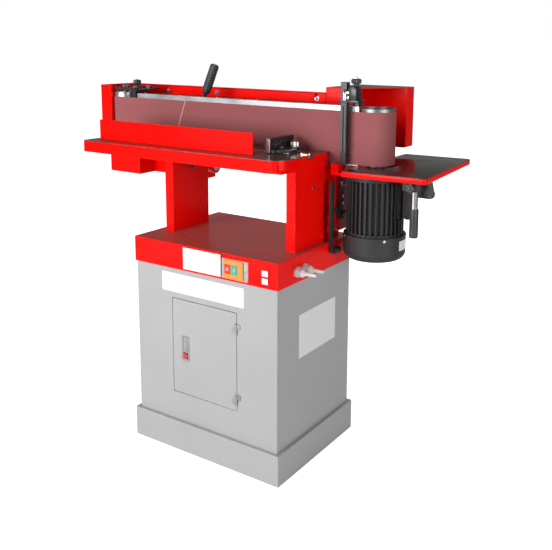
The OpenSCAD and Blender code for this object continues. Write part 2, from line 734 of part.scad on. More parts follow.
// The belt: an arc round each drum, cut at its tangents, and the two straight runs
module belt_arc(cx, cy, r, a0, a1) {
  m = (a0 + a1) / 2;
  translate([cx, cy, belt_z]) linear_extrude(belt_w) difference() {
    circle(r + belt_t);
    circle(r);
    polygon([[0, 0], 3 * r * [cos(a1), sin(a1)], 5 * r * [cos(m + 135), sin(m + 135)],
      5 * r * [cos(m - 135), sin(m - 135)], 3 * r * [cos(a0), sin(a0)]]);
  }
}
module sanding_belt() translate([head_x, 0, 0]) {
  dx = drum_x - idler_x;
  dy = drum_y - idler_y;
  base = atan2(dy, dx);
  lean = asin((belt_in - belt_in2) / sqrt(dx * dx + dy * dy));
  na = base + 90 + lean;
  nb = base - 90 - lean;
  color([0.62, 0.36, 0.38]) {
    belt_arc(drum_x, drum_y, belt_in, nb, na);
    belt_arc(idler_x, idler_y, belt_in2, na, nb + 360);
    // each run is a hair thinner and laps 1 mm into the arcs
    for (n = [na, nb]) let (
      u = [cos(n), sin(n)],
      v = [-dx, -dy] + (belt_in2 - belt_in) * u,
      w = v / norm(v),
      i = 0.02,
      o = belt_t - 0.02
    ) translate([0, 0, belt_z]) linear_extrude(belt_w) polygon([
      [drum_x, drum_y] + (belt_in + i) * u - w,
      [drum_x, drum_y] + (belt_in + o) * u - w,
      [idler_x, idler_y] + (belt_in2 + o) * u + w,
      [idler_x, idler_y] + (belt_in2 + i) * u + w]);
  }
}

module motor_housing() translate([head_x, 0, 0]) {
  h = bed_z - motor_z0;
  color([0.1, 0.1, 0.11]) translate([drum_x, drum_y, 0]) {
    difference() {
      union() {
        translate([0, 0, motor_z0]) cylinder(h = h, r = motor_r - 11);
        translate([0, 0, bed_z - 12]) cylinder(h = 12, r = motor_r);
        translate([0, 0, motor_z0 - 8]) cylinder(h = 9, r = fan_r - 2.5);
        translate([0, 0, motor_z0]) cylinder(h = 8, r = motor_r - 3);
        for (i = [0:rib_n - 1]) rotate(i * 360 / rib_n + 3)
          translate([motor_r - 13, -1.6, motor_z0 + 2]) cube([13, 3.2, h - 4]);
      }
      translate([motor_r - 9, 112 - drum_y, 712]) cube([20, 66, 96]);
      translate([0, 0, motor_z0 + 9]) cylinder(h = h - 24, r = motor_r - 18);
      translate([0, 0, motor_z0 - 20]) cylinder(h = h + 40, r = shaft_r + run);
    }
    for (a = [45:90:315]) rotate(a) translate([65, 0, bed_z - 1]) {
      cylinder(h = 9, r = 4.8);
      translate([0, 0, 9]) hexz(6, 15);
    }
  }
}

module fan_cover() translate([head_x, 0, 0]) {
  color([0.09, 0.09, 0.1]) translate([drum_x, drum_y, 0]) difference() {
    rotate_extrude() difference() {
      union() {
        translate([0, fan_z0]) square([fan_r - 22, 24]);
        translate([fan_r - 22, fan_z0 + 22]) circle(22);
        translate([0, fan_z0 + 22]) square([fan_r, motor_z0 - fan_z0 - 21]);
      }
      translate([0, fan_z0 + 2.5]) square([fan_r - 22, 24]);
      translate([fan_r - 22, fan_z0 + 22]) circle(19.5);
      translate([0, fan_z0 + 22]) square([fan_r - 2.5, motor_z0 - fan_z0]);
      translate([-60, fan_z0 - 5]) square([60, 200]);
    }
    for (k = [22, 34, 46, 58], a = [0:30:330]) rotate(a + k) translate([k, 0, fan_z0 - 1])
      cylinder(h = 6, r = 2.2 + k / 40);
  }
  color([0.75, 0.75, 0.76]) for (a = [-146, -56, 34, 124]) translate([drum_x, drum_y, motor_z0 - 6])
    rotate(a) translate([fan_r - 0.4, 0, 0]) alongx(2.6, 3);
}

module terminal_box() translate([head_x, 0, 0]) {
  x0 = drum_x + motor_r - 5;
  color([0.1, 0.1, 0.11]) {
    difference() {
      translate([x0 - 4, 112, 712]) cube([26, 66, 96]);
      translate([x0 - 5, 115, 715]) cube([24, 60, 90]);
    }
    translate([x0 + 22, 109, 709]) cube([6, 72, 102]);
    translate([x0 + 15, 145, 702]) cylinder(h = 11, r = 8);
    for (y = [116, 174], z = [717, 803]) translate([x0 + 27.9, y, z]) alongx(1.8, 3.2);
  }
}

module rating_plate() translate([head_x, 0, 0]) {
  color([0.92, 0.92, 0.92]) translate([drum_x, drum_y, fan_z0 + 33]) intersection() {
    difference() {
      cylinder(h = 28, r = fan_r + 0.7);
      translate([0, 0, -1]) cylinder(h = 30, r = fan_r);
    }
    rotate(-12) translate([0, 0, -1]) cube([120, 120, 32]);
    rotate(-54) translate([0, 0, -1]) cube([120, 120, 32]);
  }
}

module rotor() translate([head_x, 0, 0]) {
  color([0.66, 0.66, 0.68]) translate([drum_x, drum_y, 0]) {
    translate([0, 0, 622]) cylinder(h = 388, r = shaft_r);
    translate([0, 0, motor_z0 + 18]) cylinder(h = 118, r = motor_r - 22);
  }
  color([0.15, 0.15, 0.16]) translate([drum_x, drum_y, 626]) {
    cylinder(h = 20, r = 22);
    for (a = [0:45:315]) rotate(a) translate([18, -1.5, 0]) cube([52, 3, 20]);
    cylinder(h = 3, r = 70);
  }
}

module drive_drum() translate([head_x, 0, 0]) {
  color([0.68, 0.69, 0.7]) translate([drum_x, drum_y, 0]) difference() {
    union() {
      translate([0, 0, belt_z]) cylinder(h = platen_top - 1 - belt_z, r = drum_r);
      translate([0, 0, belt_z - 8]) cylinder(h = 10, r = 26);
    }
    translate([0, 0, platen_top - 15]) difference() {
      cylinder(h = 16, r = drum_r - 8);
      cylinder(h = 8, r = 24);
    }
    translate([0, 0, belt_z - 9]) cylinder(h = 200, r = shaft_r);
    translate([0, 0, belt_z + 12]) difference() {
      cylinder(h = 120, r = drum_r - 7);
      cylinder(h = 120, r = 24);
    }
  }
  color([0.3, 0.3, 0.31]) translate([drum_x, drum_y, platen_top - 20]) {
    cylinder(h = 16, r = 19);
    translate([0, 0, 16]) hexz(8, 19);
  }
}

module idler_slide() translate([head_x, 0, 0]) {
  // forked carriage: plates above and below the idler, a shoe on the bed, the pull rod
  color([0.2, 0.21, 0.22]) {
    difference() {
      union() {
        translate([idler_x - 20, idler_y - 34, 1038]) cube([118, 92, 5]);
        translate([idler_x - 20, idler_y - 34, 1042.9]) cube([118, 4, 5]);
        translate([idler_x - 20, idler_y + 54, 1042.9]) cube([118, 4, 5]);
        translate([idler_x + 48, idler_y - 22, bed_top + 7]) cube([20, 56, 190]);
        translate([idler_x - 18, idler_y - 20, bed_top + 7]) cube([84, 40, 8]);
        translate([idler_x + 46, idler_y - 12, bed_top + 0.2]) cube([60, 36, 7]);
      }
      translate([idler_x, idler_y, bed_top]) cylinder(h = 300, r = 10);
      translate([idler_x + 53, idler_y - 14, 900]) cube([10, 40, 100]);
    }
  }
  color([0.7, 0.7, 0.72]) {
    translate([idler_x, idler_y, bed_top + 7]) cylinder(h = 200, r = 10);
    translate([idler_x, idler_y, 1043]) hexz(9, 24);
    translate([idler_x + 66, lever_y + 2.5, lever_z - 20]) alongx(lever_x - idler_x - 76, 4);
    difference() {
      translate([lever_x - 12, lever_y - 1.5, lever_z - 34]) cube([24, 8, 25]);
      translate([lever_x - 4.35, lever_y - 4, lever_z - 26]) cube([8.7, 14, 15]);
    }
    for (y = [-20, 44]) translate([idler_x + 62, idler_y + y, 1043]) hexz(8, 15);
  }
  // hooked pointer over the platen's left end
  color([0.08, 0.08, 0.08]) {
    translate([idler_x + 84, 87, 1043]) cube([7, 24, 4]);
    translate([idler_x + 84, 86, 1018]) cube([7, 3.5, 29]);
    translate([idler_x + 82, 86, 1016]) cube([11, 5, 5]);
  }
}

module idler_drum() translate([head_x, 0, 0]) {
  color([0.8, 0.81, 0.82]) translate([idler_x, idler_y, belt_z]) difference() {
    cylinder(h = platen_top + 1 - belt_z, r = idler_r);
    translate([0, 0, -1]) cylinder(h = 200, r = 10 + run);
    for (z = [-1, platen_top - belt_z - 9]) translate([0, 0, z]) difference() {
      cylinder(h = 12, r = idler_r - 6);
      translate([0, 0, -1]) cylinder(h = 16, r = 22);
    }
  }
}

module tracking_knob() translate([head_x, 0, 0]) {
  color([0.07, 0.07, 0.07]) translate([idler_x + 28, idler_y + 26, 1043.2]) {
    cylinder(h = 12, r = 7);
    translate([0, 0, 10]) difference() {
      cylinder(h = 18, r = 14);
      for (a = [0:60:300]) rotate(a) translate([17, 0, -1]) cylinder(h = 22, r = 5.5);
    }
    translate([0, 0, 27.9]) cylinder(h = 3, r1 = 9, r2 = 5);
  }
}

module lever_bracket() translate([head_x, 0, 0]) {
  color([0.16, 0.16, 0.17]) difference() {
    union() {
      for (y = [-14, 9]) translate([lever_x - 18, lever_y + y, bed_top])
        cube([36, 5, lever_z - bed_top + 18]);
      translate([lever_x - 30, lever_y - 14, bed_top]) cube([60, 28, 6]);
    }
    translate([lever_x, lever_y - 20, lever_z]) alongy(40, 6 + run);
  }
}
module tension_lever() translate([head_x, 0, 0]) {
  color([0.55, 0.55, 0.57]) translate([lever_x, lever_y, lever_z]) {
    translate([0, -16, 0]) alongy(32, 6);
    translate([0, -8.5, 0]) alongy(6.5, 12);
    // crank and the pin that works in the slotted rod end
    translate([-6, -8.5, -27]) cube([12, 6.5, 27]);
    translate([0, -8.5, -20]) alongy(16, 4);
    rotate([0, lever_lean, 0]) translate([0, -1.5, 0]) difference() {
      cylinder(h = 84, r = 7);
      translate([-10, 0.5, -1]) cube([20, 20, 9]);
    }
  }
}
module lever_grip() translate([head_x, 0, 0]) {
  color([0.08, 0.08, 0.09]) translate([lever_x, lever_y, lever_z]) rotate([0, lever_lean, 0])
    translate([0, 0, 68]) difference() {
      union() {
        cylinder(h = 10, r1 = grip_d / 2 - 5, r2 = grip_d / 2 - 1);
        translate([0, 0, 10]) difference() {
          cylinder(h = 86, r = grip_d / 2);
          for (a = [0:30:330]) rotate(a) translate([grip_d / 2 + 0.6, 0, 6]) cylinder(h = 70, r = 1.8);
        }
        translate([0, 0, 95.9]) cylinder(h = 7, r1 = grip_d / 2, r2 = grip_d / 2 - 6);
      }
      translate([0, -1.5, -1]) cylinder(h = 17, r = 7);
    }
}

module stop_bracket() translate([head_x, 0, 0]) {
  color([0.11, 0.11, 0.12]) difference() {
    union() {
      translate([280, 62, 1041]) cube([75, 56, 9]);
      translate([284, 70, 1049.9]) cube([50, 40, 36]);
      translate([312, run_y + 0.4, platen_top]) cube([20, 22, 11.1]);
    }
    translate([288.9, 65.9, 1000]) cube([stop_w + 0.2, 18.2, 200]);
    translate([283, 69, 1080]) rotate([0, -40, 0]) cube([4, 50, 20]);
  }
  color([0.75, 0.75, 0.77]) {
    for (z = [1060, 1074]) translate([322, 66, z]) alongy(4.1, 4.5);
    translate([322, 104, 1067]) alongy(10, 5);
  }
}
module stop_bar() translate([head_x, 0, 0]) {
  color([0.13, 0.13, 0.14]) difference() {
    translate([289, 66, bed_top + 24]) cube([stop_w, 18, 1098 - bed_top - 24]);
    for (i = [0:19]) translate([289 + stop_w + 0.5, 60, 880 + i * 8]) rotate([0, 45, 0])
      translate([-2, 0, -2]) cube([4, 30, 4]);
    translate([289 + stop_w / 2 - 2, 65, 900]) cube([4, 4, 130]);
  }
}
module stop_knob() translate([head_x, 0, 0]) {
  color([0.07, 0.07, 0.08]) translate([325, 90, 1086.2]) {
    cylinder(h = 8, r = 8);
    translate([0, 0, 7]) difference() {
      cylinder(h = 14, r = 15);
      for (a = [0:45:315]) rotate(a) translate([17.4, 0, -1]) cylinder(h = 18, r = 4.5);
    }
    translate([0, 0, 20.9]) cylinder(h = 2.5, r1 = 13, r2 = 10);
  }
}

module etab_2d(inset) {
  x0 = etab_x0 + inset;
  y0 = etab_y0 + inset;
  difference() {
    translate([x0, y0]) rsq(etab_x1 - etab_x0 - 2 * inset, etab_y1 - etab_y0 - 2 * inset, 10);
    translate([drum_x, drum_y]) circle(belt_in + belt_t + 7 + inset);
    translate([etab_x0 - 10, drum_y - belt_in - belt_t - 7 - inset])
      square([drum_x - etab_x0 + 10, 2 * (belt_in + belt_t + 7 + inset)]);
  }
}
module end_table() translate([head_x, 0, 0]) {
  color([0.86, 0.03, 0.03]) translate([0, 0, etab_z - etab_t]) linear_extrude(etab_t - 1.5) etab_2d(0);
}
module end_table_top() translate([head_x, 0, 0]) {
  color([0.12, 0.12, 0.13]) translate([0, 0, etab_z - 1.5]) linear_extrude(1.5) etab_2d(0.4);
}
module table_stem() translate([head_x, 0, 0]) {
  color([0.8, 0.8, 0.82]) translate([stem_x, stem_y, 751]) cylinder(h = etab_z - etab_t - 5 - 751, r = stem_d / 2);
}
module stem_grip() translate([head_x, 0, 0]) {
  color([0.07, 0.07, 0.08]) translate([stem_x, stem_y, 677]) difference() {
    union() {
      translate([0, 0, 5]) cylinder(h = 72, r = 13);
      cylinder(h = 5.1, r1 = 10, r2 = 13);
      translate([0, 0, 76.9]) cylinder(h = 5, r1 = 13, r2 = 11);
    }
    translate([0, 0, 74]) cylinder(h = 20, r = stem_d / 2);
  }
  // black gusset under the table, right of the post
  color([0.07, 0.07, 0.07]) {
    difference() {
      translate([stem_x - 8, stem_y + 36, 0]) rotate([90, 0, 0]) linear_extrude(8) union() {
        polygon([[4, etab_z - etab_t], [4, 772], [16, 772], [40, 788], [57, 806], [62, 822],
          [60, etab_z - etab_t]]);
        translate([50, 800]) circle(9);
      }
      translate([stem_x + 42, stem_y + 20, 800]) alongy(40, 4);
    }
    translate([stem_x - 22, stem_y - 16, etab_z - etab_t - 5]) cube([60, 60, 5]);
  }
}
module table_clamp() translate([head_x, 0, 0]) {
  color([0.09, 0.09, 0.1]) difference() {
    union() {
      translate([stem_x, stem_y, 808]) cylinder(h = bed_z - 808, r = 19);
      translate([stem_x - 34, stem_y - 9, 808]) cube([24, 18, bed_z - 808]);
    }
    translate([stem_x, stem_y, 800]) cylinder(h = 60, r = stem_d / 2 + run);
    translate([stem_x, stem_y - 15, 821]) rotate([90, 0, 0]) cylinder(h = 20, r = 5, center = true);
  }
}
module clamp_knob() translate([head_x, 0, 0]) {
  color([0.07, 0.07, 0.08]) translate([stem_x, stem_y - 19.4, 821]) rotate([90, 0, 0]) {
    cylinder(h = 9, r = 7);
    translate([0, 0, 8]) difference() {
      cylinder(h = 12, r = 16);
      for (a = [0:72:288]) rotate(a) translate([19, 0, -1]) cylinder(h = 16, r = 6);
    }
    translate([0, 0, -5.3]) cylinder(h = 6, r = 4.95);
  }
}

module tilt_bar() translate([head_x, 0, 0]) {
  color([0.1, 0.1, 0.11]) platex(rarm_x + arm_t, 6) difference() {
    translate([tlev_y - 11, 690]) square([22, 122]);
    translate([tlev_y - 3, 724]) square([6, 50]);
    translate([tlev_y, tlev_z]) circle(5 + run);
    translate([pivot_y, pivot_z]) circle(6);
  }
}
module tilt_lever() translate([head_x, 0, 0]) {
  x = rarm_x + arm_t + 9.4;
  color([0.08, 0.08, 0.08]) {
    platex(x, 7) difference() {
      union() {
        polygon([[58, 800], [62, 815], [74, 815], [76, 800], [74, 640], [74, 616], [92, 612],
          [112, 614], [112, 604], [70, 600], [60, 608], [56, 700]]);
        polygon([[64, 724], [tlev_y - 4, tlev_z - 6], [tlev_y - 4, tlev_z + 12], [64, 742]]);
        translate([tlev_y, tlev_z]) circle(12);
      }
      translate([tlev_y, tlev_z]) circle(4.9);
    }
    translate([x, 78, 599]) cube([11, 34, 14]);
  }
  color([0.78, 0.78, 0.8]) translate([0, tlev_y, tlev_z]) {
    translate([rarm_x + 0.5, 0, 0]) alongx(x - rarm_x + 6.6, 4.95);
    translate([rarm_x + arm_t + 6.1, 0, 0]) alongx(x - rarm_x - arm_t - 6.2, 7);
    translate([x + 7, 0, 0]) hexx(6, 15);
  }
}

plinth();
cabinet_shell();
base_box();
switch_plate();
switch_body();
stop_button();
start_button();
cable_glands();
name_plate();
hinge_leaves();
door_panel();
door_hinges();
latch_housing();
latch_lever();
latch_button();
latch_tongue();
left_post();
right_post();
pivot_brackets();
table_apron();
table_top();
guide_plate();
fasteners();
star_knob();
gauge_bar();
gauge_head();
gauge_fence();
gauge_knob();
head_bed();
trunnion_pins();
rear_cover();
end_guard();
dust_hood();
dust_port();
platen();
platen_brackets();
sanding_belt();
motor_housing();
fan_cover();
terminal_box();
rating_plate();
rotor();
drive_drum();
idler_slide();
idler_drum();
tracking_knob();
lever_bracket();
tension_lever();
lever_grip();
stop_bracket();
stop_bar();
stop_knob();
end_table();
end_table_top();
table_stem();
stem_grip();
table_clamp();
clamp_knob();
tilt_bar();
tilt_lever();
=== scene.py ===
import math

import bmesh
import bpy
from mathutils import Matrix, Vector


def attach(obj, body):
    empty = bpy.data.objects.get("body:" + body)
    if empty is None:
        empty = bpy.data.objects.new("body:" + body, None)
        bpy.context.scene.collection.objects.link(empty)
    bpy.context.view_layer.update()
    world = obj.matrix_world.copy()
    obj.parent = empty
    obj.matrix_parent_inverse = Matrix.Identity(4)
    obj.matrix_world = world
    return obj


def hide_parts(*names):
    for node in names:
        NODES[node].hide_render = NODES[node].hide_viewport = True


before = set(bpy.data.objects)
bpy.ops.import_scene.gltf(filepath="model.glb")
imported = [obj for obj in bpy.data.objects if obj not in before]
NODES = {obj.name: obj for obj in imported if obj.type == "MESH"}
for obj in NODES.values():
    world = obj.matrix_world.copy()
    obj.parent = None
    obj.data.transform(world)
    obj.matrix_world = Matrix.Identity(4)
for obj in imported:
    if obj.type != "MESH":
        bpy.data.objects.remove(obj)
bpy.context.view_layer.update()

# The looks of the edge sander: camera, studio, finishes, and the pieces whose visible form goes beyond the solids.
# Metres throughout. +X runs along the belt to the motor end, +Z is up, the operator stands at -Y.
UP, FRONT, BACK, RIGHT = (0, 0, 1), (0, -1, 0), (0, 1, 0), (1, 0, 0)
MOTOR_X, MOTOR_Y = 0.364, 0.1456    # axis of the motor and the drive drum
POST_X, POST_Y = 0.508, 0.100       # axis of the end table's post
TABLE_Z = 0.8970                    # the work table's face
BOX_FRONT = -0.2000                 # the red base box's front face


# ---------------------------------------------------------------- shader node helpers

def feed(tree, value, port):
    """Links a socket to the port, or sets the port to a constant."""
    if isinstance(value, bpy.types.NodeSocket):
        tree.links.new(value, port)
    else:
        port.default_value = value


def math_node(tree, operation, *values):
    node = tree.nodes.new("ShaderNodeMath")
    node.operation = operation
    for port, value in zip(node.inputs, values):
        feed(tree, value, port)
    return node.outputs[0]


def vector_node(tree, operation, *values):
    node = tree.nodes.new("ShaderNodeVectorMath")
    node.operation = operation
    for port, value in zip(node.inputs, values):
        feed(tree, value, port)
    return node.outputs["Value" if operation in ("DOT_PRODUCT", "LENGTH") else "Vector"]


def map_range(tree, value, low, high, to_low=0.0, to_high=1.0):
    node = tree.nodes.new("ShaderNodeMapRange")
    for title, number in (("From Min", low), ("From Max", high), ("To Min", to_low), ("To Max", to_high)):
        node.inputs[title].default_value = number
    tree.links.new(value, node.inputs["Value"])
    return node.outputs[0]


def noise_node(tree, where, scale, detail):
    node = tree.nodes.new("ShaderNodeTexNoise")
    node.inputs["Detail"].default_value = detail
    tree.links.new(where, node.inputs["Vector"])
    tree.links.new(scale, node.inputs["Scale"])
    return node.outputs["Fac"]


def mix_colour(tree, factor, base, over):
    """Goes from base, a colour or a socket, to the colour over."""
    node = tree.nodes.new("ShaderNodeMix")
    node.data_type = "RGBA"
    tree.links.new(factor, node.inputs["Factor"])
    feed(tree, base, node.inputs["A"])
    node.inputs["B"].default_value = over
    return node.outputs["Result"]


def object_place(tree):
    return tree.nodes.new("ShaderNodeTexCoord").outputs["Object"]


# ---------------------------------------------------------------- camera and studio

IMAGE_WIDTH, IMAGE_HEIGHT, SENSOR_MM = 552, 550, 36
CAMERA_PLACE = (1.3527, -1.7662, 1.2048)
YAW_PITCH_ROLL = (32.683, 9.546, 0.533)     # degrees
FOCAL_PX = 756.76
CENTRE_PX = (306.29, 170.0)                 # where the lens axis meets the picture, from its top left corner

# name, place, aim, width and height, watts
LAMPS = (("key softbox", (-1.0, -3.9, 1.5), (0, 0, 0.7), (2.6, 1.7), 168),
         ("fill softbox", (3.6, -1.1, 1.1), (0, 0, 0.7), (2.0, 1.8), 55),
         ("rim softbox", (-0.4, 3.4, 1.6), (0, 0, 0.8), (2.4, 1.6), 60))
AIR_STRENGTH = 0.15
GLOSSY_SHARE = 0.12                         # how much of the white background a reflection sees
FLOOR_HALF, FLOOR_DROP = 14, 0.0005
FLOOR_TONE = 0.86
FLOOR_FADE = (0.9, 3.2)                     # distances between which the floor runs into the background
FLOOR_GLOW = (0.80, 1.1)


def set_camera():
    """Solved from edges of the photograph, with the lens shift held to what its framing needs."""
    yaw, pitch, roll = (math.radians(angle) for angle in YAW_PITCH_ROLL)
    ahead = Vector((-math.sin(yaw) * math.cos(pitch), math.cos(yaw) * math.cos(pitch), -math.sin(pitch)))
    right = Vector((math.cos(yaw), math.sin(yaw), 0))
    up = right.cross(ahead)
    right, up = (right * math.cos(roll) + up * math.sin(roll),
                 up * math.cos(roll) - right * math.sin(roll))
    data = bpy.data.cameras.new("camera")
    data.sensor_fit = "HORIZONTAL"
    data.sensor_width = SENSOR_MM
    data.lens = FOCAL_PX / IMAGE_WIDTH * SENSOR_MM
    data.shift_x = (IMAGE_WIDTH / 2 - CENTRE_PX[0]) / IMAGE_WIDTH
    data.shift_y = (CENTRE_PX[1] - IMAGE_HEIGHT / 2) / IMAGE_WIDTH
    data.clip_start, data.clip_end = 0.05, 60
    camera = bpy.data.objects.new("camera", data)
    bpy.context.scene.collection.objects.link(camera)
    turn = Matrix((right, up, -ahead)).transposed()
    camera.matrix_world = Matrix.Translation(Vector(CAMERA_PLACE)) @ turn.to_4x4()
    bpy.context.scene.camera = camera


def soft_lamp(name, place, aim, size, watts):
    data = bpy.data.lights.new(name, "AREA")
    data.shape = "RECTANGLE"
    data.size, data.size_y = size
    data.energy = watts
    lamp = bpy.data.objects.new(name, data)
    bpy.context.scene.collection.objects.link(lamp)
    lamp.location = place
    lamp.rotation_euler = (Vector(aim) - Vector(place)).to_track_quat("-Z", "Y").to_euler()
    return lamp


def studio_air():
    """A dim white world as light, and plain white behind the object."""
    world = bpy.data.worlds.new("studio air")
    bpy.context.scene.world = world
    world.use_nodes = True
    tree = world.node_tree
    tree.nodes.clear()
    out = tree.nodes.new("ShaderNodeOutputWorld")
    mix = tree.nodes.new("ShaderNodeMixShader")
    for port, strength in ((1, AIR_STRENGTH), (2, 1.0)):
        air = tree.nodes.new("ShaderNodeBackground")
        air.inputs["Color"].default_value = (1, 1, 1, 1)
        air.inputs["Strength"].default_value = strength
        tree.links.new(air.outputs[0], mix.inputs[port])
    ray = tree.nodes.new("ShaderNodeLightPath").outputs
    glossy = math_node(tree, "MULTIPLY", ray["Is Glossy Ray"], GLOSSY_SHARE)
    seen = math_node(tree, "MAXIMUM", ray["Is Camera Ray"], glossy)
    seen = math_node(tree, "MAXIMUM", seen, ray["Is Transmission Ray"])
    tree.links.new(seen, mix.inputs["Fac"])
    tree.links.new(mix.outputs[0], out.inputs["Surface"])


def studio_floor():
    """Pale paper that holds the shadow near the object and fades to the background's white."""
    shape = bmesh.new()
    bmesh.ops.create_grid(shape, x_segments=1, y_segments=1, size=FLOOR_HALF)
    bmesh.ops.translate(shape, verts=shape.verts, vec=(0, 0, -FLOOR_DROP))
    mesh = bpy.data.meshes.new("studio floor")
    shape.to_mesh(mesh)
    shape.free()
    floor = bpy.data.objects.new("studio_floor", mesh)
    bpy.context.scene.collection.objects.link(floor)
    paper = bpy.data.materials.new("paper floor")
    paper.use_nodes = True
    tree = paper.node_tree
    skin = tree.nodes["Principled BSDF"]
    skin.inputs["Base Color"].default_value = (FLOOR_TONE, FLOOR_TONE, FLOOR_TONE, 1)
    skin.inputs["Roughness"].default_value = 0.9
    skin.inputs["Specular IOR Level"].default_value = 0.1
    skin.inputs["Emission Color"].default_value = (1, 1, 1, 1)
    distance = vector_node(tree, "LENGTH", object_place(tree))
    glow = map_range(tree, distance, *FLOOR_FADE, *FLOOR_GLOW)
    seen = tree.nodes.new("ShaderNodeLightPath").outputs["Is Camera Ray"]
    tree.links.new(math_node(tree, "MULTIPLY", seen, glow), skin.inputs["Emission Strength"])
    mesh.materials.append(paper)


def studio():
    lamps = [soft_lamp(*row) for row in LAMPS]
    lamps[-1].visible_glossy = False        # the rim lamp would whiten the upward faces at a grazing angle
    studio_air()
    studio_floor()


# ---------------------------------------------------------------- finishes

EDGE_SPAN = (0.995, 0.85)       # cosine between the flat and the eased normal, from clear of an edge to on it
PATCH_SPAN = (0.5, 0.68)        # noise over which the patches of lighter edge come in, partly wear and partly painted highlight


def new_group(name, inputs, outputs):
    group = bpy.data.node_groups.new(name, "ShaderNodeTree")
    for title, kind, value in inputs:
        socket = group.interface.new_socket(name=title, in_out="INPUT", socket_type=kind)
        socket.default_value = value
    for title, kind in outputs:
        group.interface.new_socket(name=title, in_out="OUTPUT", socket_type=kind)
    return group, group.nodes.new("NodeGroupInput"), group.nodes.new("NodeGroupOutput")


def edge_wear_and_highlight_group():
    """How near a point is to an edge, broken up by noise, and the normal of an eased edge."""
    group, start, end = new_group(
        "edge rub", [("Width", "NodeSocketFloat", 0.002), ("Break up", "NodeSocketFloat", 60.0)],
        [("Mask", "NodeSocketFloat"), ("Rounded normal", "NodeSocketVector")])
    eased = group.nodes.new("ShaderNodeBevel")
    eased.samples = 4
    group.links.new(start.outputs["Width"], eased.inputs["Radius"])
    flat = group.nodes.new("ShaderNodeNewGeometry").outputs["Normal"]
    near = map_range(group, vector_node(group, "DOT_PRODUCT", eased.outputs[0], flat), *EDGE_SPAN)
    patch = noise_node(group, object_place(group), start.outputs["Break up"], 4)
    patch = map_range(group, patch, *PATCH_SPAN)
    group.links.new(math_node(group, "MULTIPLY", near, patch), end.inputs["Mask"])
    group.links.new(eased.outputs[0], end.inputs["Rounded normal"])
    return group


def mottle_group():
    """Slow drift and fine grain in object space, stretched by three scales."""
    group, start, end = new_group(
        "mottle", [("Stretch", "NodeSocketVector", (1, 1, 1)), ("Slow", "NodeSocketFloat", 5.0),
                   ("Fine", "NodeSocketFloat", 400.0)],
        [("Drift", "NodeSocketFloat"), ("Grain", "NodeSocketFloat")])
    where = vector_node(group, "MULTIPLY", object_place(group), start.outputs["Stretch"])
    for title, detail, port in (("Slow", 3, "Drift"), ("Fine", 2, "Grain")):
        group.links.new(noise_node(group, where, start.outputs[title], detail), end.inputs[port])
    return group


EDGE_WEAR_AND_HIGHLIGHT = edge_wear_and_highlight_group()
MOTTLE = mottle_group()
CHART = {}
GRAIN_SHARE = 0.25              # of the grain in the colour's drift
SHADE_DEPTH = 2.2               # how far below the colour its shade lies, for each unit of drift
TINT_SPAN = (0.42, 0.78)        # drift over which shade turns to colour
SWING_SPAN = (0.3, 0.7)         # drift over which the roughness swings
UPWARD_SPAN = (0.8, 0.98)       # normal's Z from which a face counts as looking up and takes the top colour, a painted shade
COAT_ROUGHNESS = 0.06


def finish(name, colour, rough, metal=0.0, coat=0.0, spec=0.5, drift=0.08, shade=None, top=None, slow=5.0, fine=400.0,
           stretch=(1, 1, 1), rough_swing=0.06, bump=0.05, depth=0.0004, rounding=False, wear_and_painted_highlight=None, edge_band_width=0.0018,
           edge_break_up=60.0):
    """A surface: colour that drifts to shade, painted shade on upward faces, lighter edges that are partly wear and
    partly painted highlight, rough swing, fine bump.
    """
    mat = bpy.data.materials.new(name)
    mat.use_nodes = True
    tree = mat.node_tree
    skin = tree.nodes["Principled BSDF"]
    for title, value in (("Metallic", metal), ("Coat Weight", coat), ("Coat Roughness", COAT_ROUGHNESS),
                         ("Specular IOR Level", spec)):
        skin.inputs[title].default_value = value

    mottle = tree.nodes.new("ShaderNodeGroup")
    mottle.node_tree = MOTTLE
    for title, value in (("Stretch", stretch), ("Slow", slow), ("Fine", fine)):
        mottle.inputs[title].default_value = value
    slow_drift, grain = mottle.outputs["Drift"], mottle.outputs["Grain"]
    edge_node = tree.nodes.new("ShaderNodeGroup")
    edge_node.node_tree = EDGE_WEAR_AND_HIGHLIGHT
    edge_node.inputs["Width"].default_value = edge_band_width
    edge_node.inputs["Break up"].default_value = edge_break_up

    low = shade if shade else tuple(c * (1 - SHADE_DEPTH * drift) for c in colour)
    spread = math_node(tree, "MULTIPLY_ADD", grain, GRAIN_SHARE, slow_drift)
    base = mix_colour(tree, map_range(tree, spread, *TINT_SPAN), (*low, 1), (*colour, 1))
    # upward faces take the top colour: painted shade and dark reflection, where little light falls from above
    if top is not None:
        split = tree.nodes.new("ShaderNodeSeparateXYZ")
        tree.links.new(tree.nodes.new("ShaderNodeNewGeometry").outputs["Normal"], split.inputs[0])
        base = mix_colour(tree, map_range(tree, split.outputs["Z"], *UPWARD_SPAN), base, (*top, 1))
    # edges take a lighter colour: partly wear, partly painted highlight
    if wear_and_painted_highlight is not None:
        base = mix_colour(tree, edge_node.outputs["Mask"], base, (*wear_and_painted_highlight, 1))
    tree.links.new(base, skin.inputs["Base Color"])

    swing = map_range(tree, slow_drift, *SWING_SPAN, max(0.02, rough - rough_swing), min(1.0, rough + rough_swing))
    tree.links.new(swing, skin.inputs["Roughness"])
    relief = tree.nodes.new("ShaderNodeBump")
    relief.inputs["Strength"].default_value = bump
    relief.inputs["Distance"].default_value = depth
    tree.links.new(grain, relief.inputs["Height"])
    if rounding:
        tree.links.new(edge_node.outputs["Rounded normal"], relief.inputs["Normal"])
    tree.links.new(relief.outputs[0], skin.inputs["Normal"])
    CHART[name] = mat
    return mat


SPLICE_LEAN = 0.370                     # run in X for each metre of height
SPLICE_X, SPLICE_Z = -0.3116, 1.0091    # a point that the splice passes
SPLICE_EDGE = (0.0022, 0.0008)          # half width, from clear of the splice to full on it
BELT_MIDDLE_Y = 0.11                    # the front run lies before this


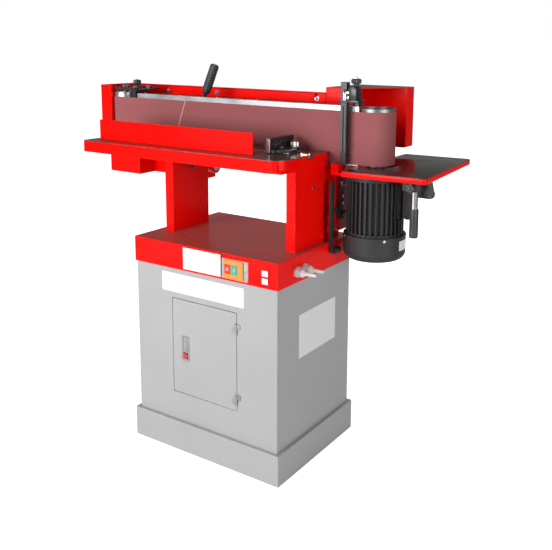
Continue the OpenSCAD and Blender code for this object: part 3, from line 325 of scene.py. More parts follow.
def belt_cloth():
    """Abrasive cloth: brown-pink grain and a pale slanting splice on the front run."""
    mat = finish("belt cloth", (0.335, 0.101, 0.106), 0.85, spec=0.25, drift=0.05, slow=3.0, fine=900,
                 stretch=(1, 1, 6), rough_swing=0.05, bump=0.35, depth=0.0006)
    tree = mat.node_tree
    axes = tree.nodes.new("ShaderNodeSeparateXYZ")
    tree.links.new(object_place(tree), axes.inputs[0])
    leaned = math_node(tree, "MULTIPLY_ADD", axes.outputs["Z"], -SPLICE_LEAN, axes.outputs["X"])
    offset = math_node(tree, "ADD", leaned, SPLICE_LEAN * SPLICE_Z - SPLICE_X)
    line = map_range(tree, math_node(tree, "ABSOLUTE", offset), *SPLICE_EDGE)
    in_front = math_node(tree, "LESS_THAN", axes.outputs["Y"], BELT_MIDDLE_Y)
    ground = tree.nodes["Principled BSDF"].inputs["Base Color"]
    cloth = ground.links[0].from_socket
    mask = math_node(tree, "MULTIPLY", line, in_front)
    tree.links.new(mix_colour(tree, mask, cloth, (0.62, 0.40, 0.33, 1)), ground)


RED, DEEP_RED = (0.96, 0.0032, 0.0012), (0.90, 0.0028, 0.0012)
# the pale pink edge colour of the red enamel is painted highlight
ENAMEL = {"drift": 0.03, "shade": DEEP_RED, "fine": 260, "depth": 0.0005, "rounding": True, "wear_and_painted_highlight": (1.0, 0.09, 0.05),
          "edge_band_width": 0.0022, "edge_break_up": 25}
PLASTIC = {"drift": 0.04, "slow": 40, "fine": 1200, "rounding": True, "edge_band_width": 0.0008}


def make_finishes():
    # red enamel's top colour is painted shade on the base box's upward faces
    finish("red enamel", RED, 0.26, coat=0.05, spec=0.10, top=(0.46, 0.080, 0.066), **ENAMEL)
    finish("red enamel plain", RED, 0.28, coat=0.04, spec=0.09, **ENAMEL)
    # hood enamel's top colour is painted shade on the hood's top
    finish("hood enamel", RED, 0.28, coat=0.04, spec=0.09, top=(0.20, 0.010, 0.012), **ENAMEL)
    finish("grey enamel", (0.415, 0.415, 0.42), 0.42, coat=0.08, spec=0.35, drift=0.02, shade=(0.395, 0.395, 0.395),
           fine=700, bump=0.12, depth=0.0003, rounding=True, wear_and_painted_highlight=(0.56, 0.56, 0.56), edge_band_width=0.0022, edge_break_up=20)
    # the table's red-brown colour is painted reflection of the red parts and the dark surroundings on its steel
    finish("ground table", (0.22, 0.085, 0.072), 0.26, metal=0.5, spec=0.3, drift=0.10, shade=(0.15, 0.065, 0.056),
           slow=14, fine=520, stretch=(0.25, 1, 1), bump=0.10, depth=0.0002, wear_and_painted_highlight=(0.55, 0.46, 0.42), edge_band_width=0.0012)
    finish("bright strip", (0.50, 0.50, 0.51), 0.36, metal=0.7, drift=0.12, shade=(0.38, 0.38, 0.40), slow=22,
           fine=600, stretch=(0.5, 1, 1), bump=0.12, depth=0.0002, wear_and_painted_highlight=(0.85, 0.85, 0.86), edge_band_width=0.0012)
    finish("machined steel", (0.60, 0.60, 0.62), 0.28, metal=1.0, drift=0.08, slow=40, fine=900, bump=0.10,
           depth=0.0002, rounding=True, wear_and_painted_highlight=(0.8, 0.8, 0.82), edge_band_width=0.0008)
    finish("turned alloy", (0.62, 0.62, 0.63), 0.30, metal=0.9, drift=0.10, slow=30, fine=900, stretch=(1, 1, 3),
           bump=0.12, depth=0.0002, rounding=True, wear_and_painted_highlight=(0.85, 0.85, 0.86), edge_band_width=0.001)
    finish("dull alloy", (0.30, 0.30, 0.31), 0.40, metal=0.9, drift=0.10, slow=30, fine=900, stretch=(1, 1, 3),
           bump=0.12, depth=0.0002, wear_and_painted_highlight=(0.6, 0.6, 0.61), edge_band_width=0.0012)
    finish("blacked steel", (0.055, 0.056, 0.060), 0.36, metal=0.6, drift=0.15, slow=25, fine=500, bump=0.15,
           depth=0.0003, rounding=True, wear_and_painted_highlight=(0.28, 0.28, 0.29), edge_band_width=0.0012)
    finish("chrome", (0.80, 0.80, 0.82), 0.08, metal=1.0, drift=0.02, slow=20, fine=500, rough_swing=0.03, bump=0.02,
           rounding=True)
    finish("polished post", (0.55, 0.55, 0.57), 0.10, metal=1.0, drift=0.03, slow=20, fine=500, rough_swing=0.03,
           bump=0.02)
    finish("brass", (0.62, 0.40, 0.14), 0.30, metal=1.0, drift=0.1, slow=50, fine=900, bump=0.08)
    finish("anodised dark", (0.035, 0.037, 0.038), 0.28, metal=0.4, drift=0.1, slow=30, fine=900, bump=0.08,
           depth=0.0002, rounding=True, wear_and_painted_highlight=(0.4, 0.4, 0.41), edge_band_width=0.0010)
    finish("motor black", (0.036, 0.037, 0.039), 0.46, spec=0.3, drift=0.12, slow=12, fine=600, bump=0.25,
           rounding=True, wear_and_painted_highlight=(0.12, 0.12, 0.125), edge_band_width=0.0014)
    finish("moulded black", (0.040, 0.040, 0.042), 0.42, drift=0.12, slow=25, fine=1100, bump=0.20, depth=0.0003,
           rounding=True, wear_and_painted_highlight=(0.12, 0.12, 0.12), edge_band_width=0.001)
    # the end table face's dark red-brown colour is painted dark reflection of the hood and the surroundings
    finish("dark table top", (0.040, 0.024, 0.022), 0.22, coat=0.12, spec=0.25, drift=0.10,
           shade=(0.030, 0.019, 0.018), slow=6, fine=500, wear_and_painted_highlight=(0.08, 0.04, 0.04), edge_band_width=0.001)
    finish("pale gland plastic", (0.72, 0.70, 0.70), 0.38, drift=0.04, slow=30, fine=900, bump=0.08, rounding=True,
           wear_and_painted_highlight=(0.85, 0.84, 0.83), edge_band_width=0.001)
    finish("button red", (0.68, 0.02, 0.02), 0.30, coat=0.2, wear_and_painted_highlight=(0.85, 0.1, 0.1), **PLASTIC)
    finish("button green", (0.06, 0.42, 0.34), 0.30, coat=0.2, wear_and_painted_highlight=(0.3, 0.7, 0.6), **PLASTIC)
    finish("switch orange", (0.74, 0.30, 0.05), 0.34, coat=0.1, bump=0.06, wear_and_painted_highlight=(0.9, 0.5, 0.2),
           **{**PLASTIC, "drift": 0.05})
    finish("bare white plate", (0.80, 0.80, 0.80), 0.35, drift=0.015, slow=12, fine=900, bump=0.03,
           wear_and_painted_highlight=(0.9, 0.9, 0.9), edge_band_width=0.0006)
    finish("white mark", (0.85, 0.85, 0.85), 0.4, drift=0.01, slow=30, fine=900, bump=0.02)
    belt_cloth()


DRESS = {
    "red enamel": "base_box",
    "hood enamel": "dust_hood",
    "red enamel plain": "dust_port left_post right_post pivot_brackets table_apron guide_plate head_bed rear_cover"
                        " end_guard",
    "grey enamel": "plinth cabinet_shell door_panel",
    "ground table": "table_top",
    "bright strip": "platen switch_plate",
    "machined steel": "hinge_leaves door_hinges latch_housing latch_lever latch_tongue fasteners gauge_bar"
                      " trunnion_pins rotor",
    "turned alloy": "idler_drum",
    "anodised dark": "gauge_fence",
    "blacked steel": "platen_brackets idler_slide lever_bracket tension_lever stop_bar",
    "chrome": "gauge_knob",
    "motor black": "motor_housing fan_cover tilt_bar tilt_lever table_clamp gauge_head",
    "moulded black": "star_knob tracking_knob lever_grip stop_knob clamp_knob",
    "pale gland plastic": "cable_glands",
    "button red": "stop_button latch_button",
    "button green": "start_button",
    "switch orange": "switch_body",
    "bare white plate": "name_plate rating_plate",
    "belt cloth": "sanding_belt",
}


def dress_frame():
    """Gives each CAD node its finish."""
    for name, nodes in DRESS.items():
        for node in nodes.split():
            mesh = NODES[node].data
            if not mesh.materials:
                mesh.materials.append(CHART[name])
            for i in range(len(mesh.materials)):
                mesh.materials[i] = CHART[name]


# ---------------------------------------------------------------- making pieces

HEX_CORNER = 1.732      # a hexagon's width across flats over its corner radius
HEX_SPIN = 0.2          # radians by which a bolt's head is turned off square
WASHER = 0.0012         # thickness


def place_verts(shape, verts, place, direction=UP, spin=0.0):
    turn = Vector(UP).rotation_difference(Vector(direction)).to_matrix().to_4x4()
    matrix = Matrix.Translation(Vector(place)) @ turn @ Matrix.Rotation(spin, 4, "Z")
    bmesh.ops.transform(shape, matrix=matrix, verts=verts)


def bevel(shape, geom, offset, segments=2, affect="EDGES"):
    return bmesh.ops.bevel(shape, geom=geom, offset=offset, offset_type="OFFSET", segments=segments, profile=0.5,
                           affect=affect, material=-1)


def edges_of(verts):
    return {e for v in verts for e in v.link_edges}


def block(shape, low, high, round_off=0.0, steps=2):
    made = bmesh.ops.create_cube(shape, size=1)["verts"]
    low, high = Vector(low), Vector(high)
    bmesh.ops.scale(shape, vec=high - low, verts=made)
    bmesh.ops.translate(shape, vec=(low + high) / 2, verts=made)
    if round_off:
        bevel(shape, list(edges_of(made)), round_off, steps)


def turned(shape, profile, place, direction=UP, steps=48, swell=None):
    """A turned form. profile is (radius, height) from foot to tip; swell changes a radius by angle and height."""
    before = set(shape.verts)
    line = [shape.verts.new((r, 0, h)) for r, h in profile]
    edges = [shape.edges.new(pair) for pair in zip(line, line[1:])]
    bmesh.ops.spin(shape, geom=line + edges, cent=(0, 0, 0), axis=UP, angle=math.tau, steps=steps, use_merge=True)
    made = [v for v in shape.verts if v not in before]
    bmesh.ops.remove_doubles(shape, verts=made, dist=1e-6)
    made = [v for v in shape.verts if v not in before]
    if swell:
        for v in made:
            r = math.hypot(v.co.x, v.co.y)
            if r > 1e-6:
                k = swell(math.atan2(v.co.y, v.co.x), r, v.co.z)
                v.co.x, v.co.y = v.co.x * k, v.co.y * k
    place_verts(shape, made, place, direction)


def hex_bolt(shape, place, direction, across, height, washer=0.0):
    """A hexagon head with an eased crown, on a washer of the given radius."""
    if washer:
        turned(shape, [(0, 0), (washer, 0), (washer, WASHER), (0, WASHER)], place, direction, 24)
        place = Vector(place) + Vector(direction) * WASHER
    corner = across / HEX_CORNER
    made = bmesh.ops.create_cone(shape, cap_ends=True, segments=6, radius1=corner, radius2=corner,
                                 depth=height)["verts"]
    bmesh.ops.translate(shape, vec=(0, 0, height / 2), verts=made)
    crown = [e for e in edges_of(made) if all(v.co.z > height * 0.9 for v in e.verts)]
    out = bevel(shape, crown, height * 0.18, 1)
    made = list({v for v in made if v.is_valid} | set(out["verts"]))
    place_verts(shape, made, place, direction, HEX_SPIN)


def socket_screw(shape, place, direction, radius, height):
    """A cap screw with its round well."""
    made = bmesh.ops.create_cone(shape, cap_ends=True, segments=24, radius1=radius, radius2=radius,
                                 depth=height)["verts"]
    bmesh.ops.translate(shape, vec=(0, 0, height / 2), verts=made)
    lid = [f for f in {f for v in made for f in v.link_faces}
           if f.normal.z > 0.9 or f.calc_center_median().z > height * 0.95]
    made = set(made)
    for inset, drop in ((radius * 0.12, -0.00015), (radius * 0.38, 0.0), (0.0002, -height * 0.6)):
        ring = bmesh.ops.inset_region(shape, faces=lid, thickness=inset, depth=drop)
        made |= {v for f in ring["faces"] for v in f.verts}
        made |= {v for f in lid for v in f.verts}
    place_verts(shape, [v for v in made if v.is_valid], place, direction)


def cut_plate(shape, outline, lift, corners=(), corner=0.0, edge=0.0006):
    """A flat plate: its outline as one face, chosen corners rounded, lifted to its thickness, rims eased."""
    before = set(shape.verts)
    ring = [shape.verts.new(point) for point in outline]
    shape.faces.new(ring)
    if corners:
        bevel(shape, [ring[i] for i in corners], corner, 6, "VERTICES")
    face = [f for f in shape.faces if any(v not in before for v in f.verts)]
    out = bmesh.ops.extrude_face_region(shape, geom=face)
    bmesh.ops.translate(shape, verts=[g for g in out["geom"] if isinstance(g, bmesh.types.BMVert)], vec=lift)
    made = [v for v in shape.verts if v not in before]
    rims = [e for e in edges_of(made) if len(e.link_faces) == 2 and e.calc_face_angle() > 0.6]
    bevel(shape, rims, edge)


def keep(shape, name, coat, body, *nodes, slot, sharp=38):
    """Makes the shape a piece that rides on a body and stands for the named CAD nodes."""
    bmesh.ops.recalc_face_normals(shape, faces=shape.faces)
    mesh = bpy.data.meshes.new(name)
    shape.to_mesh(mesh)
    shape.free()
    mesh.materials.append(CHART[coat])
    mesh.polygons.foreach_set("use_smooth", [True] * len(mesh.polygons))
    mesh.set_sharp_from_angle(angle=math.radians(sharp))
    piece = bpy.data.objects.new(name, mesh)
    bpy.context.scene.collection.objects.link(piece)
    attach(piece, body)
    if nodes:
        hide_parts(*nodes)


# ---------------------------------------------------------------- grips and knobs

LEVER_FOOT, LEVER_LEAN = (-0.302, 0.152, 0.975), math.radians(24)
GRIP_GROOVES, GROOVE_STEP, GROOVES_FROM, GROOVES_TO = 9, 0.0085, 0.084, 0.160


def lever_grip_piece():
    """The tension lever's grip: a collar, nine grooves with fine flutes and a domed end."""
    along = (math.sin(LEVER_LEAN), 0, math.cos(LEVER_LEAN))
    profile = [(0.0072, 0.068), (0.0100, 0.0680), (0.0112, 0.0700), (0.0135, 0.0760), (0.0140, 0.0790),
               (0.0133, 0.0815)]
    for i in range(GRIP_GROOVES):
        z = GROOVES_FROM + i * GROOVE_STEP
        waist = 0.0138 + 0.0010 * math.sin(i / (GRIP_GROOVES - 1) * math.pi)
        profile += [(waist, z), (0.0149, z + 0.0020), (0.0149, z + 0.0052), (0.0140, z + 0.0070)]
    profile += [(0.0146, 0.1630), (0.0140, 0.1672), (0.0118, 0.1703), (0.0070, 0.1709), (0, 0.1710)]

    def flutes(angle, _, z):
        return 1 - 0.05 * max(0.0, math.cos(angle * 10)) ** 2 if GROOVES_FROM < z < GROOVES_TO else 1

    shape = bmesh.new()
    turned(shape, profile, LEVER_FOOT, along, 80, flutes)
    keep(shape, "lever_hand_grip", "moulded black", "tension_lever", "lever_grip", slot="black_plastic")
    shape = bmesh.new()
    cap = [(0, 0.1705), (0.0055, 0.1705), (0.0055, 0.1722), (0.004, 0.1732), (0, 0.1734)]
    turned(shape, cap, LEVER_FOOT, along, 24)
    keep(shape, "lever_end_cap", "machined steel", "tension_lever", slot="bright_steel")


def lobed_knob(name, node, place, direction, radius, lobes, start, height, hub, bite, stem=None):
    """A moulded knob: hub, lobed grip with soft rims and its dished face. Each knob's body has its node's name."""
    shape = bmesh.new()
    if stem:
        stem_radius, stem_end = stem
        turned(shape, [(0, stem_end), (stem_radius, stem_end), (stem_radius, 0.0005), (0, 0.0005)], place,
               direction, 32)
    turned(shape, [(0, 0), (hub, 0), (hub * 1.02, start * 0.5), (hub * 1.1, start + 0.001), (0, start + 0.001)],
           place, direction, 40)
    soft, top = min(0.003, height * 0.25), start + height
    dish, cap = radius * 0.50, radius * 0.35
    rim = [(0, start), (radius - soft * 1.6, start), (radius - soft * 0.5, start + soft * 0.35),
           (radius, start + soft * 1.3), (radius, top - soft * 1.3), (radius - soft * 0.5, top - soft * 0.35),
           (radius - soft * 1.6, top), (radius * 0.55, top), (dish, top - 0.0012), (cap, top - 0.0012),
           (cap * 0.92, top + 0.0012), (0, top + 0.0016)]

    def lobe(angle, r, _):
        return 1 if r < radius * 0.7 else 1 - bite * (0.5 - 0.5 * math.cos(angle * lobes)) ** 1.5

    turned(shape, rim, place, direction, lobes * 14, lobe)
    keep(shape, name, "moulded black", node, node, slot="black_plastic")


def knobs():
    stop_top = (0.325, 0.090, 1.0862)
    lobed_knob("table_star_knob", "star_knob", (-0.1996, -0.020, 0.846), RIGHT, radius=0.0245, lobes=6, start=0.0075,
               height=0.0150, hub=0.0120, bite=0.22, stem=(0.006, -0.0135))
    lobed_knob("stop_top_knob", "stop_knob", stop_top, UP, radius=0.0148, lobes=8, start=0.0072, height=0.0140,
               hub=0.0078, bite=0.10)
    lobed_knob("tracking_hand_knob", "tracking_knob", (-0.591, 0.1592, 1.0432), UP, radius=0.0138, lobes=6,
               start=0.0105, height=0.0178, hub=0.0068, bite=0.15)
    lobed_knob("end_table_clamp_knob", "clamp_knob", (POST_X, 0.0806, 0.821), FRONT, radius=0.0158, lobes=5,
               start=0.0085, height=0.0115, hub=0.0068, bite=0.24, stem=(0.0049, -0.0052))
    shape = bmesh.new()
    nut = [(0, 0.0195), (0.0052, 0.0195), (0.0052, 0.0252), (0.0040, 0.0262), (0, 0.0262)]
    turned(shape, nut, stop_top, UP, 6)
    keep(shape, "stop_knob_nut", "machined steel", "stop_knob", slot="bright_steel")


# ---------------------------------------------------------------- the switch

SWITCH_Z = 0.592
BUTTON_FACE, BUTTON_ROOT = -0.2030, -0.1912
BUTTON_WIDTH, BUTTON_HALF = 0.0199, 0.0129
STOP_X, START_X = 0.0855, 0.1086            # left sides of the two buttons
LIP_FACE, LIP_ROOT = -0.2021, -0.2012


def switch_pieces():
    for name, node, x, coat, slot in (("stop_push", "stop_button", STOP_X, "button red", "red_plastic"),
                                      ("start_push", "start_button", START_X, "button green", "green_plastic")):
        shape = bmesh.new()
        block(shape, (x + 0.0001, BUTTON_FACE, SWITCH_Z - BUTTON_HALF),
              (x + BUTTON_WIDTH, BUTTON_ROOT, SWITCH_Z + BUTTON_HALF), 0.0014, 3)
        keep(shape, name, coat, node, node, slot=slot)
    shape = bmesh.new()
    ring = [(0.0030, 0), (0.0042, 0), (0.0042, 0.0005), (0.0030, 0.0005), (0.0030, 0)]
    turned(shape, ring, (0.0955, BUTTON_FACE + 0.0001, SWITCH_Z), FRONT, 32)
    keep(shape, "stop_ring_mark", "white mark", "stop_button", slot="white_plate")
    shape = bmesh.new()
    block(shape, (0.1179, BUTTON_FACE - 0.0004, SWITCH_Z - 0.0045), (0.1193, BUTTON_FACE + 0.0003, SWITCH_Z + 0.0045),
          0.0002, 1)
    keep(shape, "start_bar_mark", "white mark", "start_button", slot="white_plate")

    # lips above and below the buttons, and the plain field at their right
    shape = bmesh.new()
    for left, foot, head in ((0.0830, 0.6098, 0.6172), (0.0830, 0.5668, 0.5742), (0.1310, 0.5742, 0.6098)):
        block(shape, (left, LIP_FACE, foot), (0.1480, LIP_ROOT, head), 0.0004, 1)
    keep(shape, "switch_bezel_lip", "switch orange", "stand", slot="yellow_plastic")
    shape = bmesh.new()
    screw = [(0, 0.0), (0.0040, 0.0), (0.0040, 0.0006), (0.0032, 0.0016), (0, 0.0020)]
    for x in (0.0785, 0.1575):
        turned(shape, screw, (x, -0.1984, SWITCH_Z), FRONT, 24)
    rivet = [(0, 0.0), (0.0016, 0.0), (0.0016, 0.0005), (0, 0.0008)]
    for x, z in ((0.0757, 0.6155), (0.1600, 0.6155), (0.0757, 0.5685), (0.1600, 0.5685)):
        turned(shape, rivet, (x, -0.1982, z), FRONT, 12)
    keep(shape, "switch_plate_screws", "machined steel", "stand", slot="bright_steel")


def bare_plates():
    """The safety plate and two small tags of the box front, left bare."""
    proud = BOX_FRONT - 0.0006
    shape = bmesh.new()
    block(shape, (-0.0665, proud, 0.5650), (0.0705, BOX_FRONT, 0.6285), 0.0002, 1)
    for z in (0.5710, 0.5925):
        block(shape, (0.2105, proud, z), (0.2305, BOX_FRONT, z + 0.0160), 0.0002, 1)
    keep(shape, "bare_front_plates", "bare white plate", "stand", slot="white_plate")


# ---------------------------------------------------------------- fixings and marks

HOOD_RIVET = [(0, 0), (0.0030, 0), (0.0026, 0.0009), (0, 0.0013)]
FOOT_Z = 0.8480             # top of the platen brackets' feet
PLATEN_SCREW_Z = 1.0286     # under the heads of the screws in the platen's top edge
COVER_SCREW_Z = 1.034


def head_fixings():
    shape = bmesh.new()
    for x in (-0.500, -0.345, -0.190, -0.035, 0.120, 0.275):
        socket_screw(shape, (x, 0.1092, PLATEN_SCREW_Z), UP, 0.0044, 0.0022)
    keep(shape, "platen_screws", "machined steel", "head", slot="bright_steel")
    shape = bmesh.new()
    washer = [(0, 0), (0.0085, 0), (0.0085, WASHER), (0, WASHER)]
    for x in (-0.520, -0.298, 0.102):
        turned(shape, washer, (x, 0.2400, COVER_SCREW_Z), FRONT, 28)
    for x in (-0.60, -0.40, -0.20, 0.0, 0.10):
        hex_bolt(shape, (x, 0.2310, 0.8440), UP, 0.010, 0.004, 0.0080)
    keep(shape, "cover_washers_and_bolts", "machined steel", "head", slot="bright_steel")
    shape = bmesh.new()
    for x in (-0.325, -0.279):
        for y in (0.1435, 0.1605):
            socket_screw(shape, (x, y, FOOT_Z), UP, 0.0032, 0.003)
    for x in (-0.455, -0.195, 0.035, 0.245):
        for y in (0.140, 0.155):
            hex_bolt(shape, (x, y, FOOT_Z), UP, 0.008, 0.0035, 0.0065)
    keep(shape, "bracket_bolts", "machined steel", "head", slot="bright_steel")


def hood_fixings():
    """Rivets along the hood's seams, at its right side and its back."""
    shape = bmesh.new()
    for i in range(6):
        turned(shape, HOOD_RIVET, (0.333, 0.4475, 0.905 + i * 0.030), RIGHT, 16)
    for i in range(5):
        for z in (0.893, 1.060):
            turned(shape, HOOD_RIVET, (0.160 + i * 0.036, 0.4550, z), BACK, 16)
    keep(shape, "hood_rivets", "red enamel plain", "head", slot="red_paint")


def motor_fixings():
    shape = bmesh.new()
    screw = [(0, 0), (0.0042, 0), (0.0040, 0.0016), (0, 0.0024)]
    for angle in (45, 135, 225, 315):
        out = Vector((math.cos(math.radians(angle)), math.sin(math.radians(angle)), 0))
        turned(shape, screw, Vector((MOTOR_X, MOTOR_Y, 0.657)) + out * 0.0910, out, 20)
    keep(shape, "motor_screws", "machined steel", "head", slot="bright_steel")


def gauge_marks():
    """Degree strokes round the gauge's half-round head, no figures."""
    top = TABLE_Z + 0.0028 + 0.0080     # the slide bar stands 2.8 mm proud, the head is 8 mm thick
    outer = 0.0395
    shape = bmesh.new()
    for k in range(-9, 10):
        inner = outer - (0.0060 if k % 3 == 0 else 0.0035)
        before = set(shape.verts)
        block(shape, (inner, -0.00022, 0), (outer, 0.00022, 0.00018))
        made = [v for v in shape.verts if v not in before]
        turn = Matrix.Rotation(math.radians(k * 5 - 20), 3, "Z")
        bmesh.ops.rotate(shape, verts=made, cent=(0, 0, 0), matrix=turn)
        bmesh.ops.translate(shape, verts=made, vec=(0.145, -0.014, top))
    keep(shape, "gauge_degree_strokes", "white mark", "gauge_head", slot="white_plate")


def gauge_ends():
    """The slide bar's brass end and the fence's bright cut end."""
    shape = bmesh.new()
    block(shape, (0.2128, -0.0202, 0.8985), (0.2443, -0.0078, 0.9005), 0.0004, 1)
    block(shape, (0.2384, -0.0202, 0.8968), (0.2443, -0.0078, 0.9024), 0.0008, 2)
    keep(shape, "gauge_bar_brass_end", "brass", "gauge_bar", slot="bright_steel")
    shape = bmesh.new()
    block(shape, (0.1188, -0.0604, 0.9000), (0.1368, -0.0600, 0.9400), 0.0001, 1)
    keep(shape, "fence_cut_end", "machined steel", "gauge_head", slot="drum_alloy")


def bright_overlays():
    """Nuts, bolts and rods whose metal differs from the node that carries them."""
    shape = bmesh.new()
    for x in (-0.522, -0.300, 0.100):
        hex_bolt(shape, (x, 0.2392, COVER_SCREW_Z), FRONT, 0.0096, 0.0050)
    keep(shape, "cover_bolt_heads", "machined steel", "head", slot="bright_steel")
    shape = bmesh.new()
    sleeve = [(0.00405, 0), (0.0042, 0.0002), (0.0042, 0.2380), (0.00405, 0.2382)]
    turned(shape, sleeve, (-0.5520, 0.1545, 0.955), RIGHT, 24)
    keep(shape, "pull_rod_sleeve", "machined steel", "idler_slide", slot="bright_steel")
    shape = bmesh.new()
    hex_bolt(shape, (-0.619, 0.1332, 1.0431), UP, 0.0246, 0.0094, 0.0150)
    for y in (0.1132, 0.1772):
        hex_bolt(shape, (-0.557, y, 1.0431), UP, 0.0154, 0.0082, 0.0095)
    keep(shape, "carriage_nuts", "machined steel", "idler_slide", slot="bright_steel")
    shape = bmesh.new()
    for z in (1.0560, 1.0700):
        socket_screw(shape, (0.3130, 0.0682, z), FRONT, 0.0036, 0.0040)
    pin = [(0, 0), (0.0016, 0), (0.0016, 0.030), (0.0012, 0.0306), (0, 0.0306)]
    for x in (0.3005, 0.3060):
        turned(shape, pin, (x, 0.0632, 1.0486), UP, 20)
    keep(shape, "stop_clamp_screws", "chrome", "head", slot="chrome")
    shape = bmesh.new()
    washer = [(0, 0), (0.0193, 0), (0.0193, 0.0010), (0.0175, 0.0016), (0, 0.0016)]
    turned(shape, washer, (MOTOR_X, MOTOR_Y, 0.9960), UP, 40)
    hex_bolt(shape, (MOTOR_X, MOTOR_Y, 0.9976), UP, 0.0196, 0.0086, 0.0130)
    keep(shape, "drum_hub_nut", "blacked steel", "rotor", slot="dark_steel")
    shape = bmesh.new()
    hex_bolt(shape, (0.2689, 0.138, 0.706), RIGHT, 0.0154, 0.0064, 0.0095)
    keep(shape, "lock_lever_nut", "chrome", "tilt_lever", slot="chrome")
    shape = bmesh.new()
    hex_bolt(shape, (0.2586, 0.138, 0.800), RIGHT, 0.0175, 0.0074, 0.0110)
    for z in (0.7385, 0.7595):
        socket_screw(shape, (0.2584, 0.138, z), RIGHT, 0.0042, 0.0030)
    keep(shape, "tilt_bar_bolts", "chrome", "head", slot="bright_steel")


# ---------------------------------------------------------------- forms nearer to the photograph than the CAD's

END_TABLE_TURN, TERMINAL_BOX_TURN = math.radians(4.6), math.radians(32)
END_TABLE_CORNER = (0.338, -0.010)          # near left corner, before the cut round the belt
END_TABLE_WIDE, END_TABLE_DEEP = 0.2427, 0.4036
BELT_CLEAR_RADIUS = 0.0606
CLEAR_STEPS = 24                            # in the half circle round the drum


def table_outline(z, inset):
    """The end table's edge: turned a little on its post, cut back round the belt."""
    corner_x, corner_y = END_TABLE_CORNER
    drum, gap, left = Vector((MOTOR_X, MOTOR_Y, z)), BELT_CLEAR_RADIUS + inset, corner_x + inset
    turn = Matrix.Rotation(END_TABLE_TURN, 3, "Z")
    near = Vector((corner_x, corner_y, z))
    wide, deep = END_TABLE_WIDE - inset, END_TABLE_DEEP - inset
    near_right, far_right = near + turn @ Vector((wide, inset, 0)), near + turn @ Vector((wide, deep, 0))
    side = turn @ Vector((-1, 0, 0))
    far_left = far_right + side * ((far_right.x - left) / -side.x)
    near_left = near_right + side * ((near_right.x - left) / -side.x)
    arc = [drum + Matrix.Rotation(math.radians(90 - 180 / CLEAR_STEPS * k), 3, "Z") @ Vector((gap, 0, 0))
           for k in range(CLEAR_STEPS + 1)]
    back_end, front_end = Vector((left, drum.y + gap, z)), Vector((left, drum.y - gap, z))
    return [near_left, near_right, far_right, far_left, back_end] + arc + [front_end]


def end_table_pieces():
    shape = bmesh.new()
    cut_plate(shape, table_outline(0.8460, 0), (0, 0, 0.0145), (1, 2), 0.0105, 0.0012)
    keep(shape, "end_table_slab", "red enamel plain", "end_table", "end_table", slot="red_paint")
    shape = bmesh.new()
    # its face carries a painted dark reflection
    cut_plate(shape, table_outline(0.8604, 0.0008), (0, 0, 0.0016), (1, 2), 0.0100, 0.0004)
    keep(shape, "end_table_face", "dark table top", "end_table", "end_table_top", slot="dark_top")
    shape = bmesh.new()
    turned(shape, [(0, 0.0), (0.0095, 0.0), (0.0095, 0.0930), (0, 0.0930)], (POST_X, POST_Y, 0.751), UP, 56)
    keep(shape, "end_table_post", "polished post", "end_table", "table_stem", slot="chrome")
    shape = bmesh.new()
    grip = [(0, 0), (0.0098, 0), (0.0115, 0.0008), (0.0124, 0.0030), (0.0126, 0.0060), (0.0126, 0.0760),
            (0.0124, 0.0790), (0.0116, 0.0812), (0.0100, 0.0820), (0, 0.0820)]
    turned(shape, grip, (POST_X, POST_Y, 0.677), UP, 56)
    block(shape, (0.486, 0.084, 0.8428), (0.546, 0.144, 0.8462), 0.0008, 2)
    gusset = ((0.504, 0.846), (0.504, 0.7845), (0.543, 0.7845), (0.5515, 0.7900), (0.5515, 0.7980), (0.541, 0.846))
    cut_plate(shape, [(x, 0.128, z) for x, z in gusset], (0, 0.008, 0), (2, 3, 4), 0.004, 0.0007)
    hex_bolt(shape, (0.5430, 0.128, 0.7935), FRONT, 0.0090, 0.0040, 0.0066)
    keep(shape, "post_grip_and_gusset", "moulded black", "end_table", "stem_grip", slot="black_plastic")


def terminal_box_pieces():
    """The motor's terminal box, turned on the motor's axis, with its lid, gland and screws."""
    axis, turn = (MOTOR_X, MOTOR_Y, 0), Matrix.Rotation(TERMINAL_BOX_TURN, 3, "Z")
    shape = bmesh.new()
    block(shape, (0.4390, 0.1126, 0.7120), (0.4650, 0.1786, 0.8080), 0.0022, 3)
    block(shape, (0.4652, 0.1096, 0.7090), (0.4702, 0.1816, 0.8110), 0.0014, 3)
    gland = [(0, 0), (0.0066, 0), (0.0080, 0.0010), (0.0080, 0.0110), (0, 0.0110)]
    turned(shape, gland, (0.4580, MOTOR_Y, 0.7020), UP, 32)
    bmesh.ops.rotate(shape, verts=shape.verts, cent=axis, matrix=turn)
    keep(shape, "motor_terminal_box", "motor black", "head", "terminal_box", slot="black_paint")
    shape = bmesh.new()
    screw = [(0, 0), (0.0034, 0), (0.0032, 0.0010), (0, 0.0018)]
    for y in (0.1166, 0.1746):
        for z in (0.717, 0.803):
            turned(shape, screw, (0.4701, y, z), RIGHT, 20)
    bmesh.ops.rotate(shape, verts=shape.verts, cent=axis, matrix=turn)
    keep(shape, "terminal_box_screws", "machined steel", "head", slot="bright_steel")


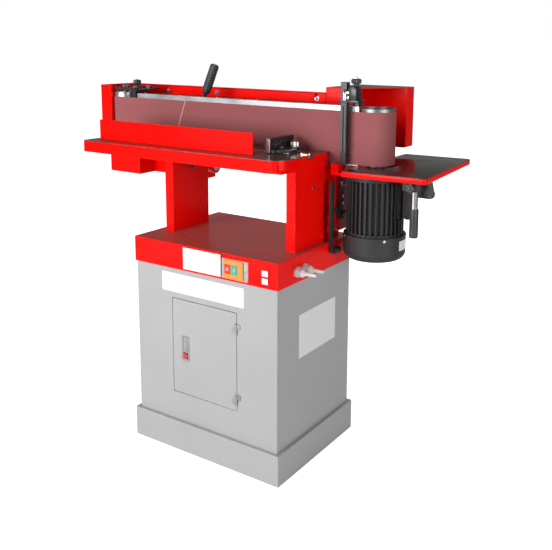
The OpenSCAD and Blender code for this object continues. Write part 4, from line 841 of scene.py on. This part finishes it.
def drive_drum_piece():
    """The hollow drum: foot ring, rim, thin wall, web and hub."""
    shape = bmesh.new()
    line = [(0.0146, 0.857), (0.0260, 0.857), (0.0260, 0.865), (0.0515, 0.865), (0.0521, 0.8656), (0.0521, 1.0240),
            (0.0517, 1.0246), (0.0497, 1.0246), (0.0492, 1.0240), (0.0490, 0.9860), (0.0440, 0.9820), (0.0240, 0.9820),
            (0.0220, 0.9840), (0.0220, 0.9960), (0.0146, 0.9960)]
    turned(shape, line + line[:1], (MOTOR_X, MOTOR_Y, 0), UP, 96)
    keep(shape, "drive_drum_shell", "dull alloy", "rotor", "drive_drum", slot="drum_alloy", sharp=30)


def stop_clamp_piece():
    """The work stop's clamp: a short sole round the bar and a block with a chamfered crown."""
    sole, top = 1.0410, 1.0490
    shape = bmesh.new()
    block(shape, (0.3086, 0.0620, sole), (0.3460, 0.1040, top), 0.0010, 2)
    block(shape, (0.2850, 0.0845, sole), (0.3095, 0.1040, top), 0.0010, 2)
    block(shape, (0.2850, 0.0612, sole), (0.3095, 0.0655, top), 0.0008, 2)
    crown = ((0.3090, 1.0488), (0.3370, 1.0488), (0.3370, 1.0790), (0.3310, 1.0858), (0.3140, 1.0858), (0.3090, 1.0800))
    cut_plate(shape, [(x, 0.0680, z) for x, z in crown], (0, 0.034, 0), edge=0.0009)
    block(shape, (0.3125, 0.0936, 1.0290), (0.3315, 0.1140, 1.0412), 0.0008, 2)
    keep(shape, "stop_clamp_block", "blacked steel", "head", "stop_bracket", slot="black_paint")


def rear_web():
    """The right post's plate runs on to the rear, down to the red box."""
    web = ((0.0870, 0.6330), (0.1560, 0.6330), (0.1560, 0.7560), (0.1380, 0.7740), (0.0870, 0.7740))
    shape = bmesh.new()
    cut_plate(shape, [(0.2286, y, z) for y, z in web], (0.0096, 0, 0), (2,), 0.008, 0.0008)
    keep(shape, "right_post_rear_plate", "red enamel plain", "stand", slot="red_paint")


make_finishes()
for make in (end_table_pieces, terminal_box_pieces, drive_drum_piece, stop_clamp_piece, rear_web, gauge_ends,
             bright_overlays, bare_plates, lever_grip_piece, knobs, switch_pieces, head_fixings, hood_fixings,
             motor_fixings, gauge_marks):
    make()

bpy.context.scene.view_settings.view_transform = "Standard"
set_camera()
studio()
dress_frame()
